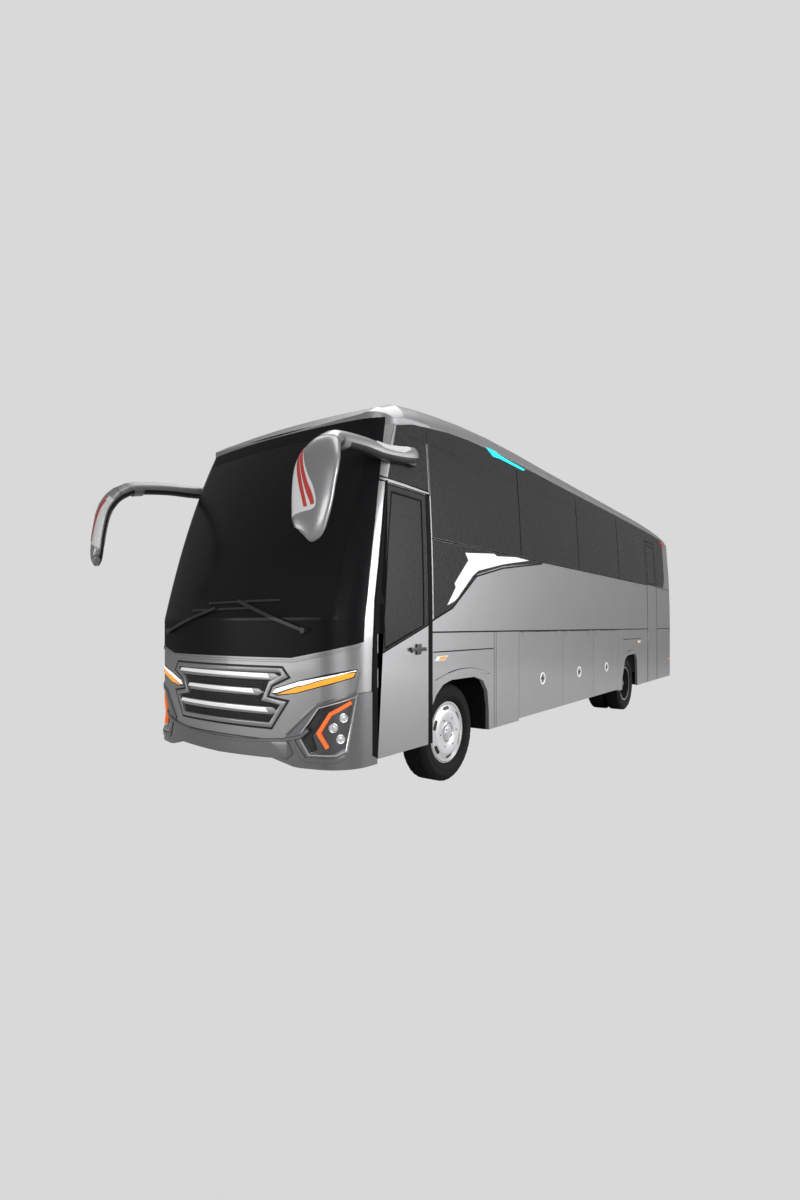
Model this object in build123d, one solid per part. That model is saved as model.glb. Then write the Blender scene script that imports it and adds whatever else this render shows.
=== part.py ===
from build123d import *
import math
import os

# Eleven metre passenger coach, standing on its wheels.
# Row frame in millimetres: X to the coach's left, Y to its rear, Z up, ground at Z 0.

# Overall body
body_half_width = 1250.0
nose_y = -5475.0
tail_y = 5880.0
skirt_z = 400.0
bumper_bottom_z = 395.0
sill_z = 430.0

# Side walls lean in above the waist on one long arc
waist_z = 1450.0
tumblehome_radius = 22000.0
wall_thickness = 42.0
glass_thickness = 8.0
glass_seat = 0.3
pane_gap = 6.0
window_border = 55.0
panel_gap = 5.0

# Nose in plan and in profile
nose_radius_low = 3500.0
nose_radius_high = 6000.0
corner_radius_low = 320.0
corner_radius_high = 250.0
rake_start_z = 1570.0
rake_top_z = 3240.0
rake_slope = 0.2558
rake_curve = 0.0727
mask_thickness = 45.0
bumper_depth = 60.0

# Tail in plan and in profile
tail_radius = 9000.0
tail_corner_radius = 150.0
tail_rake_start_z = 2600.0
tail_rake_curve = 0.33

# Roof edge line and crown line, as heights at places along the body
roof_knots_y = (-4950.0, -4700.0, -4400.0, -3900.0, -3200.0, -2400.0, -700.0, 3500.0, 5200.0, 5700.0)
roof_edge_knots_z = (3130.0, 3200.0, 3285.0, 3355.0, 3426.0, 3450.0, 3425.0, 3390.0, 3345.0, 3300.0)
roof_crown_knots_z = (3170.0, 3380.0, 3530.0, 3605.0, 3660.0, 3685.0, 3665.0, 3620.0, 3530.0, 3450.0)
roof_stations_y = (-4950.0, -4780.0, -4600.0, -4400.0, -4150.0, -3800.0, -3300.0, -2700.0, -1900.0, -900.0,
                   300.0, 1500.0, 2700.0, 3700.0, 4500.0, 5100.0, 5450.0, 5800.0)
roof_thickness = 55.0
roof_tail_z = 3330.0

# Windscreen, seen from the front
screen_sill_z = 1252.0
screen_sill_half = 776.0
screen_corner_z = 1370.0
screen_edge_inset = 36.0
screen_top_z = 3235.0
screen_thickness = 10.0
screen_flange = 60.0
screen_gap = 1.5

# Front door, driver's door and rear door
front_door_y = (-4905.0, -4150.0)
front_door_z = (430.0, 2700.0)
rear_door_y = (3722.0, 4475.0)
rear_door_z = (400.0, 3190.0)
rear_glass_inset = 40.0
door_gap = 6.0
hinge_x = body_half_width + 6.0
hinge_radius = 5.5
hinge_length = 150.0
hinge_leaf = 60.0
front_hinge_z = (1010.0, 1285.0)
rear_hinge_z = (520.0, 1220.0)
door_handle = (255.0, 85.0, 1282.0, 24.0, 18.0)
rear_door_handle = (220.0, 80.0, 1408.0, 22.0, 14.0)

# Side windows
belt_z = 2320.0
pane_edges_y = (-2120.0, -140.0, 1850.0)
tail_pane_y = (4530.0, 5230.0)

# Luggage flaps
flap_edges_y = (-2221.0, -825.0, 444.0, 1734.0)
flap_top_z = 1430.0
flap_bottom_z = 425.0
flap_hinge_z = flap_top_z + 3.0
flap_thickness = 30.0
flap_handle_radius = 75.0
flap_dish_depth = 12.0
flap_ring_width = 9.0
flap_handle_z = 843.0

# Wheels and axles
front_axle_y = -3700.0
rear_axle_y = 2406.0
tyre_radius = 470.0
tyre_width = 270.0
rim_radius = 298.5
rim_width = 215.0
front_wheel_x = 1065.0
rear_outer_x = 1058.0
twin_spacing = 300.0
kingpin_x = 880.0
kingpin_radius = 24.0
spindle_radius = 45.0
running_clearance = 0.06
slot_count = 10
slot_circle = 232.0
slot_reach = 20.0
slot_half = 15.0
wheel_box_top_z = 2 * tyre_radius + 130.0
wheel_box_wall = 15.0
step_well_y = (-4860.0, -4290.0)
front_box_y = (step_well_y[1] + glass_seat, front_axle_y + 740.0)
rear_box_y = (rear_axle_y - 616.0, rear_axle_y + 604.0)

# Wheel arches, as lengths behind the axle and heights
front_arch = ((-460.0, 250.0), (-460.0, 640.0), (-405.0, 740.0), (-320.0, 860.0), (-200.0, 950.0),
              (-40.0, 985.0), (410.0, 985.0), (590.0, 935.0), (690.0, 820.0), (725.0, 600.0), (727.0, 250.0))
rear_arch = ((-451.0, 250.0), (-416.0, 600.0), (-264.0, 905.0), (-136.0, 970.0), (21.0, 985.0),
             (380.0, 990.0), (474.0, 950.0), (525.0, 869.0), (554.0, 480.0), (554.0, 250.0))

# Chassis and floor
rail_x = 430.0
rail_height = 240.0
rail_width = 75.0
rail_wall = 10.0
rail_bottom_z = 600.0
rail_y = (-5150.0, 5450.0)
cross_member_y = (-5100.0, -4300.0, -2600.0, -1200.0, 200.0, 1500.0, 3300.0, 4200.0)
cross_member_depth = 80.0
bearer_y = (-2500.0, -1100.0, 300.0, 1500.0, 2700.0, 3500.0)
cab_bearer_y = (-5050.0, -4420.0)
bearer_depth = 60.0
floor_z = 1300.0
floor_thickness = 50.0
floor_side_gap = 3.0
floor_half = body_half_width - wall_thickness - floor_side_gap
step_base_z = 445.0
step_wall = 20.0
cab_floor_z = 950.0
bay_floor_z = 445.0
bay_floor_thickness = 25.0
bay_inner_x = 500.0
bay_wall = 20.0
wheel_box_inner_x = 530.0
wheel_box_bottom_z = 640.0

# Towing lugs under the rail ends, each a flat jaw on an upright web
tow_lug_y = (-5090.0, 5390.0)
tow_lug_thickness = 15.0
tow_lug_half = 50.0
tow_lug_z = 520.0
tow_bore_reach = 52.5
tow_bore_radius = 18.0

# Grille
grille_top = (694.0, 1182.0)
grille_bottom = (592.0, 681.0)
grille_bar_z = (1096.0, 968.0, 833.0)
grille_bar_half = (670.0, 510.0, 642.0)
grille_bar_height = (62.0, 58.0, 58.0)

# Engine, tank, roof unit
engine_size = (900.0, 1150.0, 760.0)
engine_centre = (0.0, 5080.0, 840.0)
roof_unit_y = (-300.0, 2300.0)
roof_unit_half = 800.0
roof_unit_height = 170.0
roof_unit_slope = (130.0, 320.0, 200.0)

# Seats, as rows from the front to the tail
seat_first_y = -4150.0
seat_last_y = 4700.0
seat_pitch = 780.0
seat_inner_x = 270.0
seat_outer_x = body_half_width - 90.0
driver_seat_x = (-900.0, -420.0)
driver_seat_y = -4740.0

# Driver's controls
steering_centre = (-660.0, -4905.0, 1510.0)
steering_radius = 215.0
steering_rim_radius = 15.0

# How far back cuts made from the front reach
nose_cut_y = -4960.0
screen_cut_y = -4350.0
cut_half = body_half_width + 150.0
cut_inner = body_half_width - 250.0

# Front lamps and wipers, as (x, z) points
fog_lamp_places = ((1165.0, 793.0), (1105.0, 717.0), (1150.0, 631.0))
fog_lamp_half = (36.0, 32.0)
wiper_points = (((905.0, 1470.0), (224.0, 1712.0), (-180.0, 1700.0), (647.0, 1712.0)),
                ((-852.0, 1456.0), (-50.0, 1655.0), (-435.0, 1640.0), (387.0, 1652.0)))
wiper_blade_half = 9.0
wiper_arm_half = 13.0
wiper_boss_radius = 24.0


def polygon(points):
    return Face(Wire.make_polygon([Vector(*p) for p in points], close=True))


def prism_x(outline, x0, x1):
    """Block whose outline is given as (y, z) points."""
    return Solid.extrude(polygon([(x0, y, z) for y, z in outline]), Vector(x1 - x0, 0, 0))


def prism_y(outline, y0, y1):
    """Block whose outline is given as (x, z) points."""
    return Solid.extrude(polygon([(x, y0, z) for x, z in outline]), Vector(0, y1 - y0, 0))


def prism_z(outline, z0, z1):
    """Block whose outline is given as (x, y) points."""
    return Solid.extrude(polygon([(x, y, z0) for x, y in outline]), Vector(0, 0, z1 - z0))


def block(x0, x1, y0, y1, z0, z1):
    return prism_z([(x0, y0), (x1, y0), (x1, y1), (x0, y1)], z0, z1)


def rod(start, end, radius):
    """Round bar between two points."""
    a = Vector(*start)
    b = Vector(*end)
    return Solid.make_cylinder(radius, (b - a).length, Plane(origin=a, z_dir=b - a))


def flipped(shape):
    return mirror(shape, about=Plane.YZ)


def pair(shape):
    return Compound([shape, flipped(shape)])


def side_x(z, inset=0.0):
    """Half width of the body at a height."""
    if z <= waist_z:
        return body_half_width - inset
    r = tumblehome_radius - inset
    return body_half_width - tumblehome_radius + math.sqrt(r * r - (z - waist_z) ** 2)


def side_slab(inset_out, inset_in, y0, y1, z0=300.0, z1=3600.0):
    """Full-height slab that follows the side of the body between two insets."""
    mid = (waist_z + z1) / 2
    out = Wire([
        Edge.make_line((side_x(z0, inset_out), y0, z0), (side_x(waist_z, inset_out), y0, waist_z)),
        Edge.make_three_point_arc(
            (side_x(waist_z, inset_out), y0, waist_z),
            (side_x(mid, inset_out), y0, mid),
            (side_x(z1, inset_out), y0, z1)),
        Edge.make_line((side_x(z1, inset_out), y0, z1), (side_x(z1, inset_in), y0, z1)),
        Edge.make_three_point_arc(
            (side_x(z1, inset_in), y0, z1),
            (side_x(mid, inset_in), y0, mid),
            (side_x(waist_z, inset_in), y0, waist_z)),
        Edge.make_line((side_x(waist_z, inset_in), y0, waist_z), (side_x(z0, inset_in), y0, z0)),
        Edge.make_line((side_x(z0, inset_in), y0, z0), (side_x(z0, inset_out), y0, z0)),
    ])
    return Solid.extrude(Face(out), Vector(0, y1 - y0, 0))


def rake(z):
    """How far the nose has leaned back at a height."""
    rise = max(0.0, z - rake_start_z) / 1000
    return 1000 * (rake_slope * rise + rake_curve * rise * rise)


def nose_shape(z):
    """Radii and centres of the nose plan at a height."""
    t = max(0.0, z - rake_start_z) / (rake_top_z - rake_start_z)
    big = nose_radius_low + (nose_radius_high - nose_radius_low) * t * t
    corner = corner_radius_low + (corner_radius_high - corner_radius_low) * min(t, 1.2)
    centre_x = side_x(z) - corner
    big_y = nose_y + rake(z) + big
    centre_y = big_y - math.sqrt((big - corner) ** 2 - centre_x ** 2)
    return big, corner, centre_x, centre_y, big_y


def nose_curve(z, inset, end_angle):
    """Points of the nose plan: tip, touch of the two radii, corner middle and corner end."""
    big, corner, centre_x, centre_y, big_y = nose_shape(z)
    lean = math.atan2(centre_x, big_y - centre_y)
    bend = (lean + end_angle) / 2
    r = corner - inset
    tip = (0.0, big_y - big + inset)
    touch = ((big - inset) * math.sin(lean), big_y - (big - inset) * math.cos(lean))
    middle = (centre_x + r * math.sin(bend), centre_y - r * math.cos(bend))
    end = (centre_x + r * math.sin(end_angle), centre_y - r * math.cos(end_angle))
    return tip, touch, middle, end


def nose_bow(points, z):
    """Edges across the nose from its left end to its right end, as seen from the front."""
    tip, touch, middle, end = points
    return [
        Edge.make_three_point_arc((-end[0], end[1], z), (-middle[0], middle[1], z), (-touch[0], touch[1], z)),
        Edge.make_three_point_arc((-touch[0], touch[1], z), (tip[0], tip[1], z), (touch[0], touch[1], z)),
        Edge.make_three_point_arc((touch[0], touch[1], z), (middle[0], middle[1], z), (end[0], end[1], z)),
    ]


def nose_section(z, inset, back_y):
    """Plan of the nose at a height, with a bowed front and round corners."""
    points = nose_curve(z, inset, math.pi / 2)
    side, start_y = points[3]
    return Wire([Edge.make_line((-side, back_y, z), (-side, start_y, z))] + nose_bow(points, z) + [
        Edge.make_line((side, start_y, z), (side, back_y, z)),
        Edge.make_line((side, back_y, z), (-side, back_y, z)),
    ])


def nose_strip(z, inset_out, inset_in, edge_x):
    """Plan of a pane that follows the nose between two insets, out to a half width."""
    corner, centre_x = nose_shape(z)[1:3]
    angle = math.asin((edge_x - centre_x) / (corner - inset_out))
    outside = nose_curve(z, inset_out, angle)
    inside = nose_curve(z, inset_in, angle)
    ends = []
    for side in (-1, 1):
        a, b = outside[3], inside[3]
        ends.append(Edge.make_line((side * a[0], a[1], z), (side * b[0], b[1], z)))
    return Wire(nose_bow(outside, z) + ends + nose_bow(inside, z))


nose_levels_z = (rake_start_z, 1900.0, 2300.0, 2700.0, 3100.0, 3500.0)
nose_back_y = -3900.0
nose_top_z = 3800.0


def nose_block(inset):
    """Solid nose inside the skin at an inset: upright below, raked above.

    A deeper one reaches further back, down and up, so that a layer has open ends.
    """
    back_y = nose_back_y + inset
    low_z = 300.0 - inset
    low = Solid.extrude(Face(nose_section(low_z, inset, back_y)), Vector(0, 0, rake_start_z - low_z))
    levels = nose_levels_z + (nose_top_z + inset,)
    high = Solid.make_loft([nose_section(z, inset, back_y) for z in levels])
    return low + high


def tail_section(z, inset, front_y):
    """Plan of the tail at a height."""
    rise = max(0.0, z - tail_rake_start_z) / 1000
    tip = tail_y - 1000 * tail_rake_curve * rise * rise
    half = side_x(z)
    centre_x = half - tail_corner_radius
    centre_y = tip - tail_radius + math.sqrt((tail_radius - tail_corner_radius) ** 2 - centre_x ** 2)
    r_big = tail_radius - inset
    r_corner = tail_corner_radius - inset
    lean = math.atan2(centre_x, centre_y - tip + tail_radius)
    touch = (r_big * math.sin(lean), tip - tail_radius + r_big * math.cos(lean))
    bend = (lean + math.pi / 2) / 2
    middle = (centre_x + r_corner * math.sin(bend), centre_y + r_corner * math.cos(bend))
    side = half - inset
    edges = [
        Edge.make_line((-side, front_y, z), (-side, centre_y, z)),
        Edge.make_three_point_arc((-side, centre_y, z), (-middle[0], middle[1], z), (-touch[0], touch[1], z)),
        Edge.make_three_point_arc((-touch[0], touch[1], z), (0, tip - inset, z), (touch[0], touch[1], z)),
        Edge.make_three_point_arc((touch[0], touch[1], z), (middle[0], middle[1], z), (side, centre_y, z)),
        Edge.make_line((side, centre_y, z), (side, front_y, z)),
        Edge.make_line((side, front_y, z), (-side, front_y, z)),
    ]
    return Wire(edges)


tail_levels_z = (1850.0, 2250.0, tail_rake_start_z, 2900.0, 3200.0, 3500.0)
tail_front_y = 5000.0


def tail_block(inset):
    """Solid tail inside the skin at an inset, open-ended like the nose."""
    front_y = tail_front_y - inset
    low_z = 300.0 - inset
    waist = Solid.extrude(Face(tail_section(low_z, inset, front_y)), Vector(0, 0, waist_z - low_z))
    levels = (waist_z,) + tail_levels_z + (3800.0 + inset,)
    high = Solid.make_loft([tail_section(z, inset, front_y) for z in levels])
    return waist + high


def roof_line(heights, y):
    """Height of a smooth roof line at a place along the body."""
    ys = roof_knots_y
    last = len(ys) - 1
    i = max(0, min(last - 1, sum(1 for knot in ys[1:last] if y > knot)))
    chords = [(heights[k + 1] - heights[k]) / (ys[k + 1] - ys[k]) for k in range(last)]

    def slope(k):
        if k in (0, last):
            return chords[0] if k == 0 else chords[-1]
        a, b = chords[k - 1], chords[k]
        return 0.0 if a * b <= 0 else 2 * a * b / (a + b)

    span = ys[i + 1] - ys[i]
    t = (y - ys[i]) / span
    value = (2 * t ** 3 - 3 * t ** 2 + 1) * heights[i] + (3 * t ** 2 - 2 * t ** 3) * heights[i + 1]
    return value + (t ** 3 - 2 * t ** 2 + t) * span * slope(i) + (t ** 3 - t ** 2) * span * slope(i + 1)


roof_edge_z = tuple(roof_line(roof_edge_knots_z, y) for y in roof_stations_y)
roof_crown_z = tuple(roof_line(roof_crown_knots_z, y) for y in roof_stations_y)


def roof_wire(y, edge_z, crown_z, inset, drop):
    """Cross-section of the roof at a station, closed below."""
    half = side_x(edge_z) - inset
    rise = max(25.0, crown_z - edge_z - inset)
    turn = (half - 62, edge_z + 0.58 * rise)
    shoulder = (half - 225, edge_z + 0.84 * rise)
    low_z = edge_z - drop
    edges = [
        Edge.make_three_point_arc((half, y, edge_z), (turn[0], y, turn[1]), (shoulder[0], y, shoulder[1])),
        Edge.make_three_point_arc((shoulder[0], y, shoulder[1]), (0, y, edge_z + rise),
                                  (-shoulder[0], y, shoulder[1])),
        Edge.make_three_point_arc((-shoulder[0], y, shoulder[1]), (-turn[0], y, turn[1]), (-half, y, edge_z)),
        Edge.make_line((-half, y, low_z), (half, y, low_z)),
    ]
    if drop:
        edges.append(Edge.make_line((-half, y, edge_z), (-half, y, low_z)))
        edges.append(Edge.make_line((half, y, low_z), (half, y, edge_z)))
    return Wire(edges)


def roof_block(inset, drop):
    """Everything under the roof skin at an inset, down to a drop below its edge."""
    stations = list(zip(roof_stations_y, roof_edge_z, roof_crown_z))
    return Solid.make_loft([roof_wire(y, e, c, inset, drop) for y, e, c in stations], True)


def under_roof(x0, x1, gap):
    """Block that holds everything below the roof edge line."""
    top = [(y, z - gap) for y, z in zip(roof_stations_y, roof_edge_z)]
    first = roof_stations_y[0] - 800
    last = roof_stations_y[-1] + 400
    outline = [(first, 200), (first, top[0][1] - 350)] + top + [(last, top[-1][1] - 120), (last, 200)]
    return prism_x(outline, x0, x1)


def grown(outline, amount):
    """Outline moved out by an amount, or in when the amount is negative."""
    count = len(outline)
    area = sum(outline[i][0] * outline[(i + 1) % count][1] - outline[(i + 1) % count][0] * outline[i][1]
               for i in range(count))
    turn = 1 if area > 0 else -1
    result = []
    for i in range(count):
        px, py = outline[i - 1]
        cx, cy = outline[i]
        nx, ny = outline[(i + 1) % count]
        a = math.atan2(cy - py, cx - px)
        b = math.atan2(ny - cy, nx - cx)
        half = ((b - a + math.pi) % (2 * math.pi) - math.pi) / 2
        direction = a + half - turn * math.pi / 2
        reach = amount / math.cos(half)
        result.append((cx + reach * math.cos(direction), cy + reach * math.sin(direction)))
    return result


blocks = {}


def nose(inset):
    if ("nose", inset) not in blocks:
        blocks["nose", inset] = nose_block(inset)
    return blocks["nose", inset]


def nose_layer(inset_out, inset_in):
    return nose(inset_out) - nose(inset_in)


def tail(inset):
    if ("tail", inset) not in blocks:
        blocks["tail", inset] = tail_block(inset)
    return blocks["tail", inset]


def nose_point(x, z, inset=0.0):
    """Point on the front face of the nose."""
    t = max(0.0, z - rake_start_z) / (rake_top_z - rake_start_z)
    big = nose_radius_low + (nose_radius_high - nose_radius_low) * t * t
    y = nose_y + rake(z) + big - math.sqrt((big - inset) ** 2 - x * x)
    return (x, y, z)


def save(name, shape):
    """Write one piece to its own file, as its solids."""
    solids = shape.solids()
    part = solids[0] if len(solids) == 1 else Compound(list(solids))
    part.label = name
    export_step(part, "parts/" + name + ".step")


# Line between the nose moulding and the side, seen from the side as (y, z)
mask_edge = [(-4905.0, 380.0), (-4905.0, 1500.0), (-4822.0, 2200.0), (-4745.0, 2700.0),
             (-4640.0, 3060.0), (-4560.0, 3250.0), (-4420.0, 3330.0)]


def mask_edge_y(z):
    for (y0, z0), (y1, z1) in zip(mask_edge, mask_edge[1:]):
        if z <= z1:
            return y0 + (y1 - y0) * (z - z0) / (z1 - z0)
    return mask_edge[-1][0]


def screen_outline():
    """Windscreen outline as (x, z) points, right half first, then its mirror."""
    steps = 8
    heights = [screen_corner_z + (screen_top_z - screen_corner_z) * i / steps for i in range(steps + 1)]
    right = [(screen_sill_half, screen_sill_z)]
    right += [(side_x(z) - screen_edge_inset, z) for z in heights]
    left = [(-x, z) for x, z in reversed(right)]
    return right + left


def make_windscreen():
    """Wrap-round glass in two panes: upright below the rake, then leaning back to the roof."""
    low = nose_strip(screen_sill_z, 0.0, screen_thickness, side_x(screen_sill_z) - screen_edge_inset)
    low = Solid.extrude(Face(low), Vector(0, 0, rake_start_z - screen_sill_z))
    corner = [(screen_sill_half, 1100.0), (screen_sill_half, screen_sill_z),
              (side_x(screen_corner_z) - screen_edge_inset, screen_corner_z), (cut_half, screen_corner_z),
              (cut_half, 1100.0)]
    cut = prism_y(corner, nose_y - 200, screen_cut_y)
    low = low - cut - flipped(cut)
    levels = nose_levels_z + (nose_top_z,)
    high = [nose_strip(z, 0.0, screen_thickness, side_x(z) - screen_edge_inset) for z in levels]
    clip = block(-cut_half, cut_half, nose_y - 200, nose_back_y, rake_start_z + glass_seat, screen_top_z)
    high = Solid.make_loft(high) & clip
    return Compound([low] + list(high.solids()))


def make_front_mask():
    """Lower front panel, screen surround and both front pillars, in one moulding."""
    skin = nose_layer(0.0, mask_thickness)
    outline = screen_outline()
    ahead = prism_x([(nose_y - 200, 380)] + mask_edge + [(nose_y - 200, 3330)], -cut_half, cut_half)
    skin = skin & ahead
    skin = skin & under_roof(-cut_half, cut_half, 0.0)
    skin = skin - bumper_zone(0.0)
    seat = nose_layer(-20.0, screen_thickness + glass_seat)
    skin = skin - (seat & prism_y(grown(outline, screen_gap), nose_y - 200, screen_cut_y))
    skin = skin - prism_y(grown(outline, -screen_flange), nose_y - 200, screen_cut_y)
    skin = skin - prism_y(grown(grille_outline(), 0.3), nose_y - 200, nose_y + 400)
    for lamp in (head_lamp_outline(), [(-x, z) for x, z in head_lamp_outline()]):
        skin = skin - prism_y(grown(lamp, 0.3), nose_y - 200, nose_y + 900)
    return skin


def grille_outline():
    top_x, top_z = grille_top
    low_x, low_z = grille_bottom
    right = [(low_x, low_z), (755.0, 915.0), (560.0, 942.0), (600.0, 1022.0), (765.0, 1095.0), (top_x, top_z)]
    return right + [(-x, z) for x, z in reversed(right)]


def head_lamp_outline():
    return [(590.0, 965.0), (640.0, 948.0), (815.0, 972.0), (1222.0, 1104.0), (1232.0, 1168.0),
            (840.0, 1076.0), (622.0, 1010.0)]


def bumper_line():
    """Upper edge of the bumper moulding as (x, z) points, from the middle to the side."""
    return [(0.0, 600.0), (583.0, 600.0), (715.0, 622.0), (975.0, 895.0), (1300.0, 1000.0)]


def bumper_zone(gap):
    """Everything that belongs to the bumper, with a gap added above it."""
    right = [(x, z + gap) for x, z in bumper_line()]
    left = [(-x, z) for x, z in reversed(right[1:])]
    outline = [(-1300.0, 300.0)] + left + right + [(1300.0, 300.0)]
    return prism_y(outline, nose_y - 300, -4300)


def fog_outline():
    return [(1228.0, 958.0), (1010.0, 872.0), (842.0, 640.0),
            (930.0, 500.0), (1140.0, 506.0), (1190.0, 540.0)]


def fog_zone(gap):
    right = prism_y(grown(fog_outline(), gap), nose_y - 300, nose_cut_y)
    return right, flipped(right)


def make_front_bumper():
    skin = nose_layer(-6.0, bumper_depth) & bumper_zone(-panel_gap)
    bottom = [(-1300.0, bumper_bottom_z), (-860.0, bumper_bottom_z), (-800.0, 400.0), (-600.0, 452.0),
              (0.0, 440.0), (600.0, 452.0), (800.0, 400.0), (860.0, bumper_bottom_z),
              (1300.0, bumper_bottom_z), (1300.0, 1100.0), (-1300.0, 1100.0)]
    skin = skin & prism_y(bottom, nose_y - 300, -4300)
    skin = skin & prism_x([(nose_y - 200, 380), (-4905.0, 380), (-4905.0, 1100),
                                   (nose_y - 200, 1100)], -cut_half, cut_half)
    for zone in fog_zone(0.3):
        skin = skin - zone
    return skin


def make_fog_lamps():
    right = prism_y(fog_outline(), nose_y - 300, nose_cut_y)
    tray = nose_layer(30.0, bumper_depth) & right
    for x, z in fog_lamp_places:
        wide, high = fog_lamp_half
        lens = block(x - wide, x + wide, nose_y - 200, nose_cut_y, z - high, z + high)
        tray = tray + (nose_layer(12.0, 30.0) & lens)
    strip = [(1205.0, 925.0), (1085.0, 830.0), (985.0, 668.0), (1060.0, 560.0),
             (1085.0, 580.0), (1020.0, 672.0), (1108.0, 812.0), (1215.0, 905.0)]
    tray = tray + (nose_layer(6.0, 30.0) & prism_y(strip, nose_y - 200, nose_cut_y))
    return pair(tray)


def make_head_lamps():
    lamp = nose_layer(-4.0, 50.0) & prism_y(head_lamp_outline(), nose_y - 200, nose_cut_y)
    return pair(lamp)


def grille_bar(z, half, height):
    """Outline of one pointed bar as (x, z) points."""
    cut = height * 0.9
    return [(-half, z), (-half + cut, z - height / 2), (half - cut, z - height / 2),
            (half, z), (half - cut, z + height / 2), (-half + cut, z + height / 2)]


def make_grille():
    outline = grille_outline()
    frame = nose_layer(0.0, 40.0) & prism_y(outline, nose_y - 200, nose_y + 400)
    frame = frame - prism_y(grown(outline, -26.0), nose_y - 200, nose_y + 400)
    plate = nose_layer(26.0, 40.0) & prism_y(grown(outline, -20.0), nose_y - 200, nose_y + 400)
    frame = frame + plate
    for z, half in zip(grille_bar_z, grille_bar_half):
        bar = grille_bar(z, half - 30, grille_bar_height[0])
        frame = frame + (nose_layer(2.0, 30.0) & prism_y(bar, nose_y - 200, nose_y + 400))
    return frame


def make_wipers():
    """Two arms with their blades, resting on the glass."""
    solids = []
    for pivot, joint, tip_a, tip_b in wiper_points:
        blade = prism_y(strip_outline(tip_a, tip_b, wiper_blade_half), nose_y - 200, nose_cut_y)
        blade = nose_layer(-16.0, -0.3) & blade
        arm = prism_y(strip_outline(pivot, joint, wiper_arm_half), nose_y - 200, nose_cut_y)
        arm = nose_layer(-38.0, -16.0) & arm
        px, py, pz = nose_point(pivot[0], pivot[1], 0.0)
        seat = Plane(origin=(px, py - 46.0, pz), z_dir=(0, 1, 0))
        boss = Solid.make_cylinder(wiper_boss_radius, 45.0, seat)
        solids.append(blade + arm + (boss - nose(-0.3)))
    return Compound([s for piece in solids for s in piece.solids()])


def strip_outline(a, b, half):
    """Thin strip between two (x, z) points."""
    length = math.hypot(b[0] - a[0], b[1] - a[1])
    nx = -(b[1] - a[1]) / length * half
    nz = (b[0] - a[0]) / length * half
    return [(a[0] + nx, a[1] + nz), (b[0] + nx, b[1] + nz), (b[0] - nx, b[1] - nz), (a[0] - nx, a[1] - nz)]


def pane_outlines(with_rear_door):
    """Outlines of the side panes from the front to the tail."""
    high = 3600.0
    panes = [
        [(mask_edge_y(2740) + 20, 2740), (-4088, 2725), (-4088, high), (-4520, high),
         (mask_edge_y(3250) + 25, 3250)],
        [(-4060, 1560), (-3701, 1690), (-3205, 2040), (-2600, 2170), (-1477, 2300), (-1477, 2302),
         (-4060, 2302)],
    ]
    last = rear_door_y[0] - 30 if with_rear_door else tail_pane_y[1]
    edges = [-4060.0] + list(pane_edges_y) + [last]
    if not with_rear_door:
        edges.insert(-1, 3700.0)
    for y0, y1 in zip(edges, edges[1:]):
        panes.append([(y0, belt_z), (y1 - pane_gap, belt_z), (y1 - pane_gap, high), (y0, high)])
    if with_rear_door:
        y0, y1 = tail_pane_y
        panes.append([(y0, belt_z), (y1 - 120, belt_z), (y1, belt_z + 160), (y1, high), (y0, high)])
    return panes


def pane_window(outline):
    """Opening behind a pane, set in from its edge; the quarter pane has a shorter one."""
    if len(outline) == 7:
        return [(-4005.0, 1640.0), (-3740.0, 1735.0), (-3290.0, 2055.0), (-3290.0, 2245.0), (-4005.0, 2245.0)]
    return grown(outline, -window_border)


def make_side_glass_one(with_rear_door):
    layer = side_slab(0.0, glass_thickness, -5000, 5600)
    below = under_roof(cut_inner, cut_half, 12.0)
    solids = []
    for outline in pane_outlines(with_rear_door):
        pane = layer & prism_x(outline, cut_inner, cut_half) & below
        solids += pane.solids()
    return Compound(solids)


def flap_outlines():
    edges = flap_edges_y
    return [[(y0, flap_bottom_z), (y1 - panel_gap - 1, flap_bottom_z), (y1 - panel_gap - 1, flap_top_z),
             (y0, flap_top_z)] for y0, y1 in zip(edges, edges[1:])]


def front_door_outline():
    y1 = front_door_y[1]
    z0, z1 = front_door_z
    edge = [(mask_edge_y(z) + door_gap, z) for z in (z0, 1500.0, 2200.0, z1)]
    return edge + [(y1, z1), (y1, z0)]


def rear_door_outline():
    y0, y1 = rear_door_y
    z0, z1 = rear_door_z
    return [(y0, z0), (y1, z0), (y1, z1), (y0, z1)]


def front_arch_outline():
    """Arch that a steered tyre clears, cut close over the tyre."""
    return [(front_axle_y + y, z) for y, z in front_arch]


def rear_arch_outline():
    return [(rear_axle_y + y, z) for y, z in rear_arch]


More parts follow.
